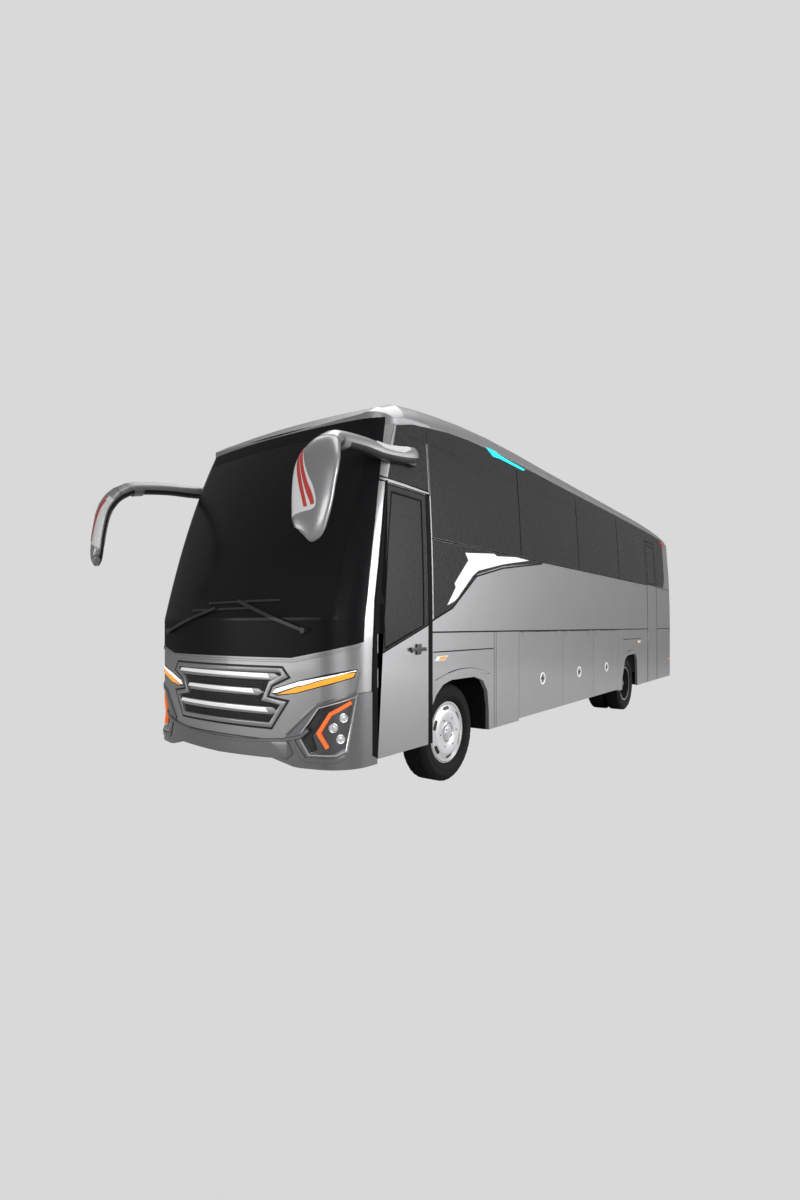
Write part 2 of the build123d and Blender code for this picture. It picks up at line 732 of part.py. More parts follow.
def make_side_wall(with_rear_door):
    """Left-hand shape; the right side is its mirror without the rear door."""
    wall = side_slab(0.0, wall_thickness, -4905, 5660)
    behind = mask_edge[1:] + [(-4420, 3600), (5700, 3600), (5700, skirt_z), (-4905, skirt_z)]
    behind = [(y + 0.3 if i < 6 else y, z) for i, (y, z) in enumerate(behind)]
    wall = wall & prism_x(behind, cut_inner, cut_half)
    wall = wall & under_roof(cut_inner, cut_half, 0.0)
    seat = side_slab(-20.0, glass_thickness + glass_seat, -5000, 5600)
    for outline in pane_outlines(with_rear_door):
        wall = wall - (seat & prism_x(grown(outline, glass_seat), cut_inner, cut_half))
        window = prism_x(pane_window(outline), cut_inner, cut_half) & under_roof(cut_inner, cut_half, 75.0)
        wall = wall - window
    wall = wall - prism_x(grown(front_door_outline(), door_gap), cut_inner, cut_half)
    wall = wall - block(1000, 1400, -4920, front_door_y[1] + door_gap, 300, front_door_z[0] + 20)
    wall = wall - prism_x(front_arch_outline(), cut_inner, cut_half)
    wall = wall - prism_x(rear_arch_outline(), cut_inner, cut_half)
    flaps = flap_outlines()
    opening = [flaps[0][0], flaps[-1][1], flaps[-1][2], flaps[0][3]]
    opening = [(opening[0][0], 300), (opening[1][0], 300), opening[2], opening[3]]
    wall = wall - prism_x(grown(opening, door_gap), cut_inner, cut_half)
    if with_rear_door:
        wall = wall - prism_x(grown(rear_door_outline(), door_gap), cut_inner, cut_half)
    return wall


def door_glass_outline():
    y1 = front_door_y[1]
    low = [(mask_edge_y(1300) + 35, 1300), (y1 - 25, 1540)]
    return low + [(y1 - 25, 2665)] + [(mask_edge_y(z) + 35, z) for z in (2665.0, 2200.0, 1500.0)]


def make_front_door():
    door = side_slab(0.0, wall_thickness, -4905, -4100) & prism_x(front_door_outline(), cut_inner, cut_half)
    outline = door_glass_outline()
    seat = side_slab(-20.0, glass_thickness + glass_seat, -5000, -4000)
    door = door - (seat & prism_x(grown(outline, glass_seat), cut_inner, cut_half))
    door = door - prism_x(grown(outline, -60.0), cut_inner, cut_half)
    for z in front_hinge_z:
        door = door + hinge_barrel(front_door_y[0], z)
    return door + pull_handle(front_door_y[1], door_handle)


def make_front_door_glass():
    return side_slab(0.0, glass_thickness, -5000, -4000) & prism_x(door_glass_outline(), cut_inner, cut_half)


def rear_door_glass_outline():
    y0, y1 = rear_door_y[0] + rear_glass_inset, rear_door_y[1] - rear_glass_inset
    top = rear_door_z[1] - rear_glass_inset
    return [(y0, belt_z), (y1, belt_z), (y1, top), (y0, top)]


def make_rear_door():
    door = side_slab(0.0, wall_thickness, rear_door_y[0] - 50, rear_door_y[1] + 50)
    door = door & prism_x(rear_door_outline(), cut_inner, cut_half)
    outline = rear_door_glass_outline()
    seat = side_slab(-20.0, glass_thickness + glass_seat, 3600, 4600)
    door = door - (seat & prism_x(grown(outline, glass_seat), cut_inner, cut_half))
    door = door - prism_x(grown(outline, -60.0), cut_inner, cut_half)
    for z in rear_hinge_z:
        door = door + hinge_barrel(rear_door_y[0], z)
    return door + pull_handle(rear_door_y[1], rear_door_handle)


def pull_handle(edge_y, sizes):
    """Flat pull on a door, near its closing edge."""
    start, end, z, height, reach = sizes
    return block(body_half_width, body_half_width + reach, edge_y - start, edge_y - end, z, z + height)


def hinge_barrel(y, z):
    """Outside hinge of a door: an upright barrel on its leaf."""
    top = z + hinge_length
    barrel = rod((hinge_x, y, z), (hinge_x, y, top), hinge_radius)
    leaf = block(body_half_width, hinge_x - 1, y + door_gap + 2, y + hinge_leaf, z, top)
    return barrel + leaf + block(hinge_x - 3, hinge_x - 1, y, y + hinge_leaf, z, top)


def make_rear_door_glass():
    layer = side_slab(0.0, glass_thickness, rear_door_y[0] - 120, rear_door_y[1] + 120)
    return layer & prism_x(rear_door_glass_outline(), cut_inner, cut_half)


def make_flap(index):
    outline = flap_outlines()[index]
    flap = side_slab(0.0, flap_thickness, outline[0][0] - 50, outline[1][0] + 50)
    flap = flap & prism_x(outline, cut_inner, cut_half)
    y = flap_handle_y(index)
    dish = flap_disc(y, flap_handle_radius, -flap_dish_depth, 6.0)
    ring = flap_disc(y, flap_handle_radius, -1.0, 3.0)
    hole = flap_disc(y, flap_handle_radius - flap_ring_width, -2.0, 4.0)
    floor_x = body_half_width - flap_dish_depth - 2
    lever = block(floor_x, body_half_width, y - 50, y + 50, flap_handle_z - 16, flap_handle_z + 16)
    flap = flap - (dish - ring) + (ring - hole) + lever
    for start in (outline[0][0] + 100, outline[1][0] - 100 - hinge_length):
        flap = flap + flap_hinge(start)
    return flap


def flap_disc(y, radius, start, end):
    """Disc about a flap handle between two depths, measured out from the side."""
    x = body_half_width
    return rod((x + start, y, flap_handle_z), (x + end, y, flap_handle_z), radius)


def flap_hinge(y):
    """Outside hinge of a flap: a barrel along its top edge on its leaf."""
    barrel = rod((hinge_x, y, flap_hinge_z), (hinge_x, y + hinge_length, flap_hinge_z), hinge_radius)
    leaf = block(body_half_width, hinge_x - 1, y, y + hinge_length, flap_top_z - 60, flap_top_z - 3)
    strap = block(hinge_x - 3, hinge_x - 1, y, y + hinge_length, flap_top_z - 60, flap_hinge_z)
    return barrel + leaf + strap


def flap_handle_y(index):
    y0, y1 = flap_edges_y[index:index + 2]
    return (y0 + y1) / 2


def roof_plan(inset):
    """Upright block that gives the roof its bowed ends."""
    front = Face(nose_section(rake_top_z, screen_thickness + screen_gap + inset, nose_back_y))
    back = Face(tail_section(roof_tail_z, inset, tail_front_y))
    low = roof_edge_knots_z[0] - 200
    plan = Solid.extrude(front, Vector(0, 0, 900)).moved(Location((0, 0, low - rake_top_z)))
    plan = plan + block(-1300, 1300, nose_back_y - 100, tail_front_y + 100, low, low + 900)
    return plan + Solid.extrude(back, Vector(0, 0, 900)).moved(Location((0, 0, low - roof_tail_z)))


def make_roof():
    """Roof skin with closed ends, from the windscreen header to the tail."""
    outside = roof_block(0.0, 60.0) & roof_plan(0.0)
    inside = roof_block(roof_thickness, 150.0) & roof_plan(roof_thickness)
    return (outside - inside) - under_roof(-cut_half, cut_half, -glass_seat)


def rear_window_outline():
    return [(-930.0, 2120.0), (930.0, 2120.0), (1010.0, 2220.0), (980.0, 3020.0), (880.0, 3090.0),
            (-880.0, 3090.0), (-980.0, 3020.0), (-1010.0, 2220.0)]


def engine_lid_outline():
    return [(-640.0, 640.0), (640.0, 640.0), (680.0, 700.0), (680.0, 1500.0), (620.0, 1560.0),
            (-620.0, 1560.0), (-680.0, 1500.0), (-680.0, 700.0)]


def tail_lamp_outline():
    return [(840.0, 1020.0), (1120.0, 1000.0), (1150.0, 1060.0), (1150.0, 1560.0), (1090.0, 1640.0),
            (960.0, 1600.0), (830.0, 1120.0)]


def make_rear_panel():
    skin = tail(0.0) - tail(wall_thickness)
    skin = skin & block(-1400, 1400, 5660.3, 6000, skirt_z, 3600)
    skin = skin & under_roof(-cut_half, cut_half, 0.0)
    y0, y1 = 5300, 6100
    seat = tail(-20.0) - tail(glass_thickness + glass_seat)
    window = rear_window_outline()
    skin = skin - (seat & prism_y(grown(window, glass_seat), y0, y1))
    skin = skin - prism_y(grown(window, -55.0), y0, y1)
    skin = skin - prism_y(grown(engine_lid_outline(), door_gap), y0, y1)
    for lamp in (tail_lamp_outline(), [(-x, z) for x, z in tail_lamp_outline()]):
        skin = skin - seat_for_lamp(lamp, y0, y1)
    return skin


def seat_for_lamp(outline, y0, y1):
    deep = tail(-20.0) - tail(30.3)
    return deep & prism_y(grown(outline, 0.3), y0, y1)


def make_tail_lamps():
    lamp = tail(-3.0) - tail(30.0) & prism_y(tail_lamp_outline(), 5300, 6100)
    return pair(lamp)


def make_rear_window():
    return tail(0.0) - tail(glass_thickness) & prism_y(rear_window_outline(), 5300, 6100)


def make_engine_lid():
    lid = tail(0.0) - tail(30.0) & prism_y(engine_lid_outline(), 5300, 6100)
    for i in range(9):
        z = 740.0 + i * 45.0
        lid = lid - block(-420, 420, 5300, 6100, z, z + 18)
    return lid


def make_chassis():
    """Two channel rails with cross members, bumper brackets and towing lugs."""
    y0, y1 = rail_y
    top = rail_bottom_z + rail_height
    out = rail_x + rail_width / 2
    inner = rail_x - rail_width / 2
    channel = [(inner, rail_bottom_z), (out, rail_bottom_z), (out, top), (inner, top),
               (inner, top - rail_wall), (out - rail_wall, top - rail_wall),
               (out - rail_wall, rail_bottom_z + rail_wall), (inner, rail_bottom_z + rail_wall)]
    rails = prism_y(channel, y0, y1)
    frame = rails + flipped(rails)
    half = out - rail_wall
    for y in cross_member_y:
        frame = frame + block(-half, half, y, y + cross_member_depth, rail_bottom_z + 40, top - 40)
    for side in (-1, 1):
        x0, x1 = sorted((side * out, side * 1000))
        frame = frame + block(x0, x1, y0 - 60, y0 + 20, rail_bottom_z + 20, rail_bottom_z + 120)
        for y in tow_lug_y:
            frame = frame + tow_lug(side, y)
    return frame + block(-out, out, y0 - 60, y0, rail_bottom_z + 20, top - 40)


def tow_lug(side, y):
    """Flat jaw beside a rail with the upright bore for a towing pin, on its web under the rail."""
    web = rail_x + rail_width / 2 - tow_lug_thickness
    bore_x = side * (web + tow_bore_reach)
    top = tow_lug_z + tow_lug_thickness
    x0, x1 = sorted((side * web, side * (web + tow_bore_reach + tow_lug_half)))
    jaw = block(x0, x1, y - tow_lug_half, y + tow_lug_half, tow_lug_z, top)
    x0, x1 = sorted((side * web, side * (web + tow_lug_thickness)))
    jaw = jaw + block(x0, x1, y - tow_lug_half, y + tow_lug_half, tow_lug_z, rail_bottom_z + 1)
    return jaw - rod((bore_x, y, tow_lug_z - 1), (bore_x, y, top + 1), tow_bore_radius)


def make_floor_bearers():
    """Trestles on the rails that carry the passenger floor and the cab floor."""
    top = rail_bottom_z + rail_height
    under = floor_z - floor_thickness
    bearers = []
    for y in bearer_y:
        bearers.append(trestle(y, bearer_depth, top, under))
    cab_under = cab_floor_z - floor_thickness
    for y in cab_bearer_y:
        bearers.append(block(-rail_x - 30, rail_x + 30, y, y + bearer_depth, top, cab_under))
    return Compound(bearers)


def trestle(y, depth, low, high):
    """Two posts on the rails with a beam across their tops."""
    beam = block(-rail_x - 50, rail_x + 50, y, y + depth, high - 60, high)
    post = block(rail_x - 30, rail_x + 30, y, y + depth, low, high - 60)
    return beam + post + flipped(post)


def make_floor():
    """Passenger floor, cab floor and steps, welded together."""
    half = floor_half
    under = floor_z - floor_thickness
    deck = block(-half, half, -4250, 5600, under, floor_z)
    cab = block(-half, half, -5230, -4230, cab_floor_z - floor_thickness, cab_floor_z)
    cab = cab & (nose(bumper_depth + 3.0) + block(-half, half, -4400, -4000, 300, 1500))
    riser = block(-half, half, -4250, -4230, cab_floor_z - floor_thickness, floor_z)
    deck = deck + cab + riser
    deck = deck + step_well(step_well_y[0], step_well_y[1], cab_floor_z, 2)
    deck = deck - block(600, half + 1, -4840, -4310, cab_floor_z - 70, cab_floor_z + 1)
    deck = deck + step_well(rear_door_y[0] + 20, rear_door_y[1] - 20, floor_z, 3)
    deck = deck - block(700, half + 1, rear_door_y[0] + 40, rear_door_y[1] - 40, under - 20, floor_z + 1)
    for side in (-1, 1):
        x0, x1 = sorted((side * (wheel_box_inner_x - glass_seat), side * (half + 1)))
        deck = deck - block(x0, x1, front_box_y[0], front_box_y[1], wheel_box_bottom_z - 1, under)
    return deck


def make_wheel_boxes():
    """Four boxes over the wheels, open below and at the side."""
    boxes = []
    for side in (-1, 1):
        for y0, y1 in (front_box_y, rear_box_y):
            boxes.append(wheel_box(side, y0, y1))
    return Compound(boxes)


def make_luggage_bays():
    return Compound([luggage_bay(-1), luggage_bay(1)])


def step_well(y0, y1, top_z, steps):
    """Stair well on the left side, with thin walls and solid steps."""
    half = floor_half
    inner = 600.0 if steps == 2 else 700.0
    base = step_base_z
    wall = step_wall
    well = block(inner - wall, half, y0, y1, base - wall, top_z)
    well = well - block(inner, half + 1, y0 + wall, y1 - wall, base, top_z + 1)
    rise = (top_z - base) / (steps + 1)
    going = (half - inner) / (steps + 1)
    for i in range(1, steps + 1):
        well = well + block(inner, half - i * going, y0 + wall, y1 - wall, base, base + i * rise)
    return well


def wheel_box(side, y0, y1):
    half = floor_half
    wall = wheel_box_wall
    x0, x1 = sorted((side * wheel_box_inner_x, side * half))
    box = block(x0, x1, y0, y1, wheel_box_bottom_z, floor_z - floor_thickness - glass_seat)
    x0, x1 = sorted((side * (wheel_box_inner_x + wall), side * (half + 1)))
    return box - block(x0, x1, y0 + wall, y1 - wall, wheel_box_bottom_z - 40, wheel_box_top_z)


def luggage_bay(side):
    """Trough under the floor, open towards the flaps."""
    half = floor_half
    y0 = flap_edges_y[0] - 20
    y1 = flap_edges_y[-1] + 15
    x0, x1 = sorted((side * bay_inner_x, side * half))
    wall = bay_wall
    top = floor_z - floor_thickness - glass_seat
    bay = block(x0, x1, y0, y1, bay_floor_z, top)
    x0, x1 = sorted((side * (bay_inner_x + wall), side * (half + 1)))
    return bay - block(x0, x1, y0 + wall, y1 - wall, bay_floor_z + bay_floor_thickness, top - wall)


def make_engine():
    """Rear engine with its gearbox, as one plain mass on the frame."""
    x, y, z = engine_centre
    w, d, h = engine_size
    body = block(x - w / 2, x + w / 2, y - d / 2, y + d / 2, z - h / 2, z + h / 2)
    out = rail_x + rail_width / 2
    slot = block(rail_x - rail_width / 2 - 5, out + 100, rail_y[0], rail_y[1] + 5, rail_bottom_z - 5,
                 rail_bottom_z + rail_height + 0.3)
    body = body - slot - flipped(slot)
    return body


def make_tank():
    """Fuel tank hung on the right rail, and the silencer at the left behind the rear axle."""
    tank = block(-1150, -480, -2980 + 40, -2290, 460, 900)
    silencer = rod((700.0, 3080.0, 640.0), (700.0, 3650.0, 640.0), 130.0)
    bracket = block(rail_x + rail_width / 2 + 0.3, 600, 3300, 3360, 620, 660)
    tank_bracket = block(-480, -rail_x - rail_width / 2 - 0.3, -2700, -2640, 640, 800)
    return Compound([tank + tank_bracket, silencer + bracket])


def make_roof_unit():
    y0, y1 = roof_unit_y
    top = max(roof_crown_z) + roof_unit_height
    w = roof_unit_half
    side, front, back = roof_unit_slope
    low = unit_frame(w, y0, y1, 3560)
    high = unit_frame(w - side, y0 + front, y1 - back, top)
    unit = Solid.make_loft([low, high], True)
    return unit - roof_block(-0.3, 0.0)


def unit_frame(half, y0, y1, z):
    corners = [(-half, y0, z), (half, y0, z), (half, y1, z), (-half, y1, z)]
    return Wire.make_polygon([Vector(*corner) for corner in corners])


def make_tyre(x, y, z):
    """Tyre as one turned ring about a wheel axis along X."""
    r = tyre_radius
    half = tyre_width / 2
    bead = rim_radius - 12
    right = [(82, bead), (half - 12, rim_radius + 22), (half, rim_radius + 85), (half - 6, r - 38),
             (half - 40, r)]
    left = [(-a, b) for a, b in reversed(right)]
    return turned(right + left, x, y, z)


def turned(profile, x, y, z):
    """Ring turned about a line along X, from (along, radius) points."""
    face = polygon([(x + a, y, z + r) for a, r in profile])
    return Solid.revolve(face, 360, Axis((x, y, z), (1, 0, 0)))


def make_front_rim(x, y, z, side):
    """Disc wheel with hand holes round the dished face and the hub in its middle."""
    half = rim_width / 2
    s = side
    outer = rim_radius - 12.3
    rim = [(-half * s, outer + 10), (-half * s, outer - 14), (half * s, outer - 14), (half * s, outer + 10),
           ((half - 8) * s, outer + 10), ((half - 24) * s, outer), (-(half - 24) * s, outer),
           (-(half - 8) * s, outer + 10)]
    rim = [(a, min(r, outer + 10)) for a, r in rim]
    barrel = turned(rim, x, y, z)
    disc = [(20 * s, outer - 16), (34 * s, outer - 12), (62 * s, 225), (86 * s, 205), (86 * s, 120),
            (110 * s, 110), (118 * s, 92), (118 * s, 52), (70 * s, spindle_radius + 1),
            (70 * s, spindle_radius + running_clearance), (-60 * s, spindle_radius + running_clearance),
            (-60 * s, 110), (66 * s, 125), (70 * s, 195), (46 * s, 215), (14 * s, outer - 20)]
    wheel = barrel + turned(disc, x, y, z)
    for i in range(slot_count):
        wheel = wheel - slot(x, y, z, s, 360.0 * i / slot_count)
    return wheel


def slot(x, y, z, s, angle):
    """Long hand hole with round ends, turned to its place in the disc."""
    x0, x1 = sorted((x - 10 * s, x + 110 * s))
    middle = z + slot_circle
    hole = block(x0, x1, y - slot_reach, y + slot_reach, middle - slot_half, middle + slot_half)
    for end in (y - slot_reach, y + slot_reach):
        hole = hole + rod((x0, end, middle), (x1, end, middle), slot_half)
    return hole.rotate(Axis((x, y, z), (1, 0, 0)), angle)


def make_rear_rims(side):
    """Two barrels of a twin wheel with their deep dish and the hub."""
    y = rear_axle_y
    z = tyre_radius
    outer = rim_radius - 12.3
    s = side
    half = rim_width / 2
    wheel = None
    for centre in (rear_outer_x, rear_outer_x - twin_spacing):
        x = centre * s
        rim = [(-half, outer + 10), (-half, outer - 14), (half, outer - 14), (half, outer + 10),
               (half - 8, outer + 10), (half - 24, outer), (-(half - 24), outer), (-(half - 8), outer + 10)]
        barrel = turned(rim, x, y, z)
        wheel = barrel if wheel is None else wheel + barrel
    mid = (rear_outer_x - twin_spacing / 2) * s
    dish = [(-60 * s, outer - 12), (-50 * s, outer - 30), (-8 * s, 200), (-8 * s, 60), (8 * s, 60),
            (8 * s, 200), (50 * s, outer - 30), (60 * s, outer - 12)]
    wheel = wheel + turned(dish, mid, y, z)
    bore = spindle_radius + running_clearance
    hub = [(-90 * s, bore), (165 * s, bore), (165 * s, 80), (150 * s, 95), (20 * s, 110), (0, 165),
           (-90 * s, 165)]
    wheel = wheel + turned(hub, mid, y, z)
    for i in range(8):
        angle = 2 * math.pi * i / 8
        cy = y + 215 * math.cos(angle)
        cz = z + 215 * math.sin(angle)
        wheel = wheel - rod((mid - 100 * s, cy, cz), (mid + 100 * s, cy, cz), 20.0)
    return wheel


def make_knuckle(side):
    """Forked knuckle with its kingpin and wheel spindle."""
    y = front_axle_y
    z = tyre_radius
    s = side
    x = kingpin_x * s
    upper = block(x - 45, x + 45, y - 50, y + 50, z + 62, z + 110)
    lower = block(x - 45, x + 45, y - 50, y + 50, z - 110, z - 62)
    x0, x1 = sorted((x + 48 * s, x + 90 * s))
    back = block(x0, x1, y - 60, y + 60, z - 110, z + 110)
    x0, x1 = sorted((x, x + 60 * s))
    upper = upper + block(x0, x1, y - 50, y + 50, z + 62, z + 110)
    lower = lower + block(x0, x1, y - 50, y + 50, z - 110, z - 62)
    pin = rod((x, y, z - 110), (x, y, z + 110), kingpin_radius)
    spindle = rod((x + 70 * s, y, z), (x + 240 * s, y, z), spindle_radius)
    arm = block(min(x - 30, x + 30), max(x - 30, x + 30), y + 50, y + 230, z - 108, z - 80)
    return upper + lower + back + pin + spindle + arm


def make_front_axle():
    """Dropped beam with kingpin eyes, carried by two leaf springs."""
    y = front_axle_y
    z = tyre_radius
    x = kingpin_x
    eye = rod((x, y, z - 60), (x, y, z + 60), 46.0)
    bore = rod((x, y, z - 70), (x, y, z + 70), kingpin_radius + running_clearance)
    ramp = [(x - 20, z + 40), (x - 20, z - 40), (620.0, z - 130), (-620.0, z - 130), (-x + 20, z - 40),
            (-x + 20, z + 40), (-560.0, z - 50), (560.0, z - 50)]
    beam = prism_y(ramp, y - 45, y + 45) + eye + flipped(eye)
    beam = beam - bore - flipped(bore)
    for s in (-1, 1):
        beam = beam + leaf_spring(rail_x * s, y, z - 50, 620.0)
    return beam


def leaf_spring(x, y, z, reach):
    """Leaf pack that rises from the axle seat to the underside of the rail."""
    top = rail_bottom_z - 0.3
    rear = [(200, z + 60), (reach - 60, top), (reach, top), (reach, top - 25), (190, z)]
    outline = [(y + a, b) for a, b in rear] + [(y - a, b) for a, b in reversed(rear)]
    return prism_x(outline, x - 35, x + 35)


def make_rear_axle():
    y = rear_axle_y
    z = tyre_radius
    inner = rear_outer_x - twin_spacing / 2 - 95
    tube = rod((-inner, y, z), (inner, y, z), 75.0)
    spindles = rod((-inner - 330, y, z), (inner + 330, y, z), spindle_radius)
    bowl = Solid.make_cylinder(190.0, 260.0, Plane(origin=(0, y - 130, z), z_dir=(0, 1, 0)))
    shaft = rod((0, y + 120, z), (0, engine_centre[1] - engine_size[1] / 2 - 5.0, 600.0), 45.0)
    axle = tube + spindles + bowl + shaft
    for s in (-1, 1):
        axle = axle + leaf_spring(rail_x * s, y, z + 40, 640.0)
    return axle


def bench(x0, x1, y, z):
    """Seat bench with cushion, tall back and legs, seen from the side as (y, z)."""
    cushion = prism_x([(y - 10, z + 380), (y + 470, z + 350), (y + 480, z + 450), (y - 20, z + 490)], x0, x1)
    back = prism_x([(y + 420, z + 380), (y + 520, z + 380), (y + 690, z + 1080), (y + 650, z + 1130),
                    (y + 590, z + 1110), (y + 440, z + 520)], x0, x1)
    legs = block(x0 + 60, x0 + 110, y + 80, y + 380, z, z + 400)
    legs = legs + block(x1 - 110, x1 - 60, y + 80, y + 380, z, z + 400)
    return cushion + back + legs


def make_seats():
    solids = []
    y = seat_first_y
    while y < seat_last_y:
        left_blocked = rear_door_y[0] - 700 < y < rear_door_y[1] - 20
        if not left_blocked:
            solids.append(bench(seat_inner_x, seat_outer_x, y, floor_z))
        solids.append(bench(-seat_outer_x, -seat_inner_x, y, floor_z))
        y += seat_pitch
    solids.append(bench(driver_seat_x[0], driver_seat_x[1], driver_seat_y, cab_floor_z))
    return Compound(solids)


def make_dashboard():
    """Dashboard shelf with the driver's binnacle, column and steering wheel."""
    base = cab_floor_z + glass_seat
    front = nose_y + 55
    shelf = [(front, base), (front + 320, base), (front + 370, 1250), (front + 425, 1380),
             (front + 350, 1440), (front, 1400)]
    shelf = prism_x(shelf, -floor_half, floor_half) & nose(bumper_depth + 3.0)
    shelf = shelf - block(560, floor_half + 1, front + 370, front + 520, 900, 1400)
    x, y, z = steering_centre
    column = rod((x, y - 215, z - 180), (x, y + 5, z + 3), 32.0)
    axis = Vector(0, 180, 150).normalized()
    rim = Solid.make_torus(steering_radius, steering_rim_radius, Plane(origin=steering_centre, z_dir=axis))
    reach = steering_radius - 7
    spokes = rod((x - reach, y, z), (x + reach, y, z), 12.0)
    return shelf + column + rim + spokes


def ellipse(centre, rx, ry, normal, x_dir):
    return Wire([Edge.make_ellipse(rx, ry, Plane(origin=centre, x_dir=x_dir, z_dir=normal))])


def make_mirror():
    """Left mirror: horn arm from the side of the cab and the hanging head."""
    side = side_x(2950.0)
    x = body_half_width
    stations = [
        ((side + 32, -4330, 2950), 30, 85, (0, -1, 0)),
        ((side + 40, -4600, 2960), 36, 95, (0, -1, 0)),
        ((x + 5, -4900, 2985), 42, 90, (0.1, -1, 0)),
        ((x + 40, -5250, 3000), 46, 80, (0.15, -1, 0)),
        ((x + 90, -5560, 2985), 80, 70, (0.15, -1, -0.25)),
        ((x + 145, -5740, 2900), 150, 75, (0.1, -0.55, -1)),
        ((x + 155, -5795, 2740), 178, 78, (0, -0.1, -1)),
        ((x + 150, -5800, 2480), 180, 75, (0, 0, -1)),
        ((x + 140, -5805, 2250), 165, 62, (0, 0, -1)),
        ((x + 125, -5800, 2130), 125, 42, (0, 0, -1)),
    ]
    wires = [ellipse(c, rx, ry, n, (1, 0, 0)) for c, rx, ry, n in stations]
    horn = Solid.make_loft(wires[:6])
    head = Solid.make_loft(wires[5:])
    return horn + head - side_slab(-0.3, 400.0, -5000, -4000, 2000, 3400)


os.makedirs("parts", exist_ok=True)
save("chassis_frame", make_chassis())
save("floor_bearers", make_floor_bearers())
save("floor_deck", make_floor())
save("wheel_boxes", make_wheel_boxes())
save("luggage_bays", make_luggage_bays())
save("side_wall_left", make_side_wall(True))
save("side_wall_right", flipped(make_side_wall(False)))
save("roof_shell", make_roof())
save("front_mask", make_front_mask())
save("front_bumper", make_front_bumper())
save("windscreen", make_windscreen())
save("grille", make_grille())
save("head_lamps", make_head_lamps())
save("fog_lamps", make_fog_lamps())
left_glass = make_side_glass_one(True).solids()
right_glass = flipped(make_side_glass_one(False)).solids()
save("side_glass", Compound(left_glass + right_glass))
save("rear_panel", make_rear_panel())
save("rear_window", make_rear_window())
save("tail_lamps", make_tail_lamps())
save("engine_lid", make_engine_lid())
save("engine_block", make_engine())
save("fuel_tank", make_tank())
save("roof_unit", make_roof_unit())
save("mirrors", pair(make_mirror()))
save("wipers", make_wipers())
save("dashboard", make_dashboard())
save("seats", make_seats())
save("front_axle", make_front_axle())
save("rear_axle", make_rear_axle())
for name, side in (("left", 1), ("right", -1)):
    save("knuckle_" + name, make_knuckle(side))
    x = front_wheel_x * side
    save("front_rim_" + name, make_front_rim(x, front_axle_y, tyre_radius, side))
    save("front_tyre_" + name, make_tyre(x, front_axle_y, tyre_radius))
    save("rear_rims_" + name, make_rear_rims(side))
    outer_tyre = make_tyre(rear_outer_x * side, rear_axle_y, tyre_radius)
    inner_tyre = make_tyre((rear_outer_x - twin_spacing) * side, rear_axle_y, tyre_radius)
    save("rear_tyres_" + name, Compound([outer_tyre, inner_tyre]))
save("front_door", make_front_door())
save("front_door_glass", make_front_door_glass())
save("driver_door", flipped(make_front_door()))
save("driver_door_glass", flipped(make_front_door_glass()))
save("rear_door", make_rear_door())
save("rear_door_glass", make_rear_door_glass())
for index, place in enumerate(("front", "middle", "rear")):
    save("luggage_flap_left_" + place, make_flap(index))
    save("luggage_flap_right_" + place, flipped(make_flap(index)))
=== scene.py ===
import math

import bmesh
import bpy
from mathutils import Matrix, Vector


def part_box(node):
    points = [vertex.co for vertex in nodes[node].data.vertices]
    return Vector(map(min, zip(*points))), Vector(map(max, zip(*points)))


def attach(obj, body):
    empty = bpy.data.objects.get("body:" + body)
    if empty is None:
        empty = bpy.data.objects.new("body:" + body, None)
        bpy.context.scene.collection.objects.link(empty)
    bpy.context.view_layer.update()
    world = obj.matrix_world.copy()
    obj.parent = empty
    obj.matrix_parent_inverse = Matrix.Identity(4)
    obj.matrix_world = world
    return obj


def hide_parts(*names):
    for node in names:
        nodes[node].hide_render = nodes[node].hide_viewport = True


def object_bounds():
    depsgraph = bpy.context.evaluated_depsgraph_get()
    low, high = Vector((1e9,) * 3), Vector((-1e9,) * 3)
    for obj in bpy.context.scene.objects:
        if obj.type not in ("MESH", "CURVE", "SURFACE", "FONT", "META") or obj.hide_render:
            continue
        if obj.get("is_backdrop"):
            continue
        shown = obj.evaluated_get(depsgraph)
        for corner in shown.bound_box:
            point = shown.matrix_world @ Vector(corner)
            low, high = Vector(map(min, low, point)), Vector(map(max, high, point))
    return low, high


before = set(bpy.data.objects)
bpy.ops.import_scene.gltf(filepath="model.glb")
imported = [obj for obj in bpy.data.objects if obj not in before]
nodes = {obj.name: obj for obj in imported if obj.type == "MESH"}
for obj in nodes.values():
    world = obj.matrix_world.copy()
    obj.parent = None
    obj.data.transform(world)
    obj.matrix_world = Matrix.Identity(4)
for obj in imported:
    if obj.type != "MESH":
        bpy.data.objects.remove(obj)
cad_low, cad_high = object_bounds()

# Studio. The coach stands on a plain pale floor that runs on into an even pale backdrop.
# Big soft lamps light it from its left and from above, and the camera stands low in front
# of its left front corner.
camera_place = (4.232, -8.7, 1.504)
camera_turn = math.radians(35.95)
focal_pixels = 599.5
frame_long_side = 1200
horizon_drop = 25.9
camera = bpy.data.objects.new("camera", bpy.data.cameras.new("camera"))
camera.data.sensor_width = 36.0
camera.data.lens = camera.data.sensor_width * focal_pixels / frame_long_side
camera.data.shift_y = horizon_drop / frame_long_side
camera.location = camera_place
camera.rotation_euler = (math.pi / 2, 0, camera_turn)
bpy.context.collection.objects.link(camera)
bpy.context.scene.camera = camera


def add_lamp(name, place, aim, width, height, power):
    lamp = bpy.data.lights.new(name, "AREA")
    lamp.shape = "RECTANGLE"
    lamp.size, lamp.size_y = width, height
    lamp.energy = power
    lamp_object = bpy.data.objects.new(name, lamp)
    lamp_object.location = place
    lamp_object.rotation_euler = (Vector(aim) - Vector(place)).to_track_quat("-Z", "Y").to_euler()
    bpy.context.collection.objects.link(lamp_object)


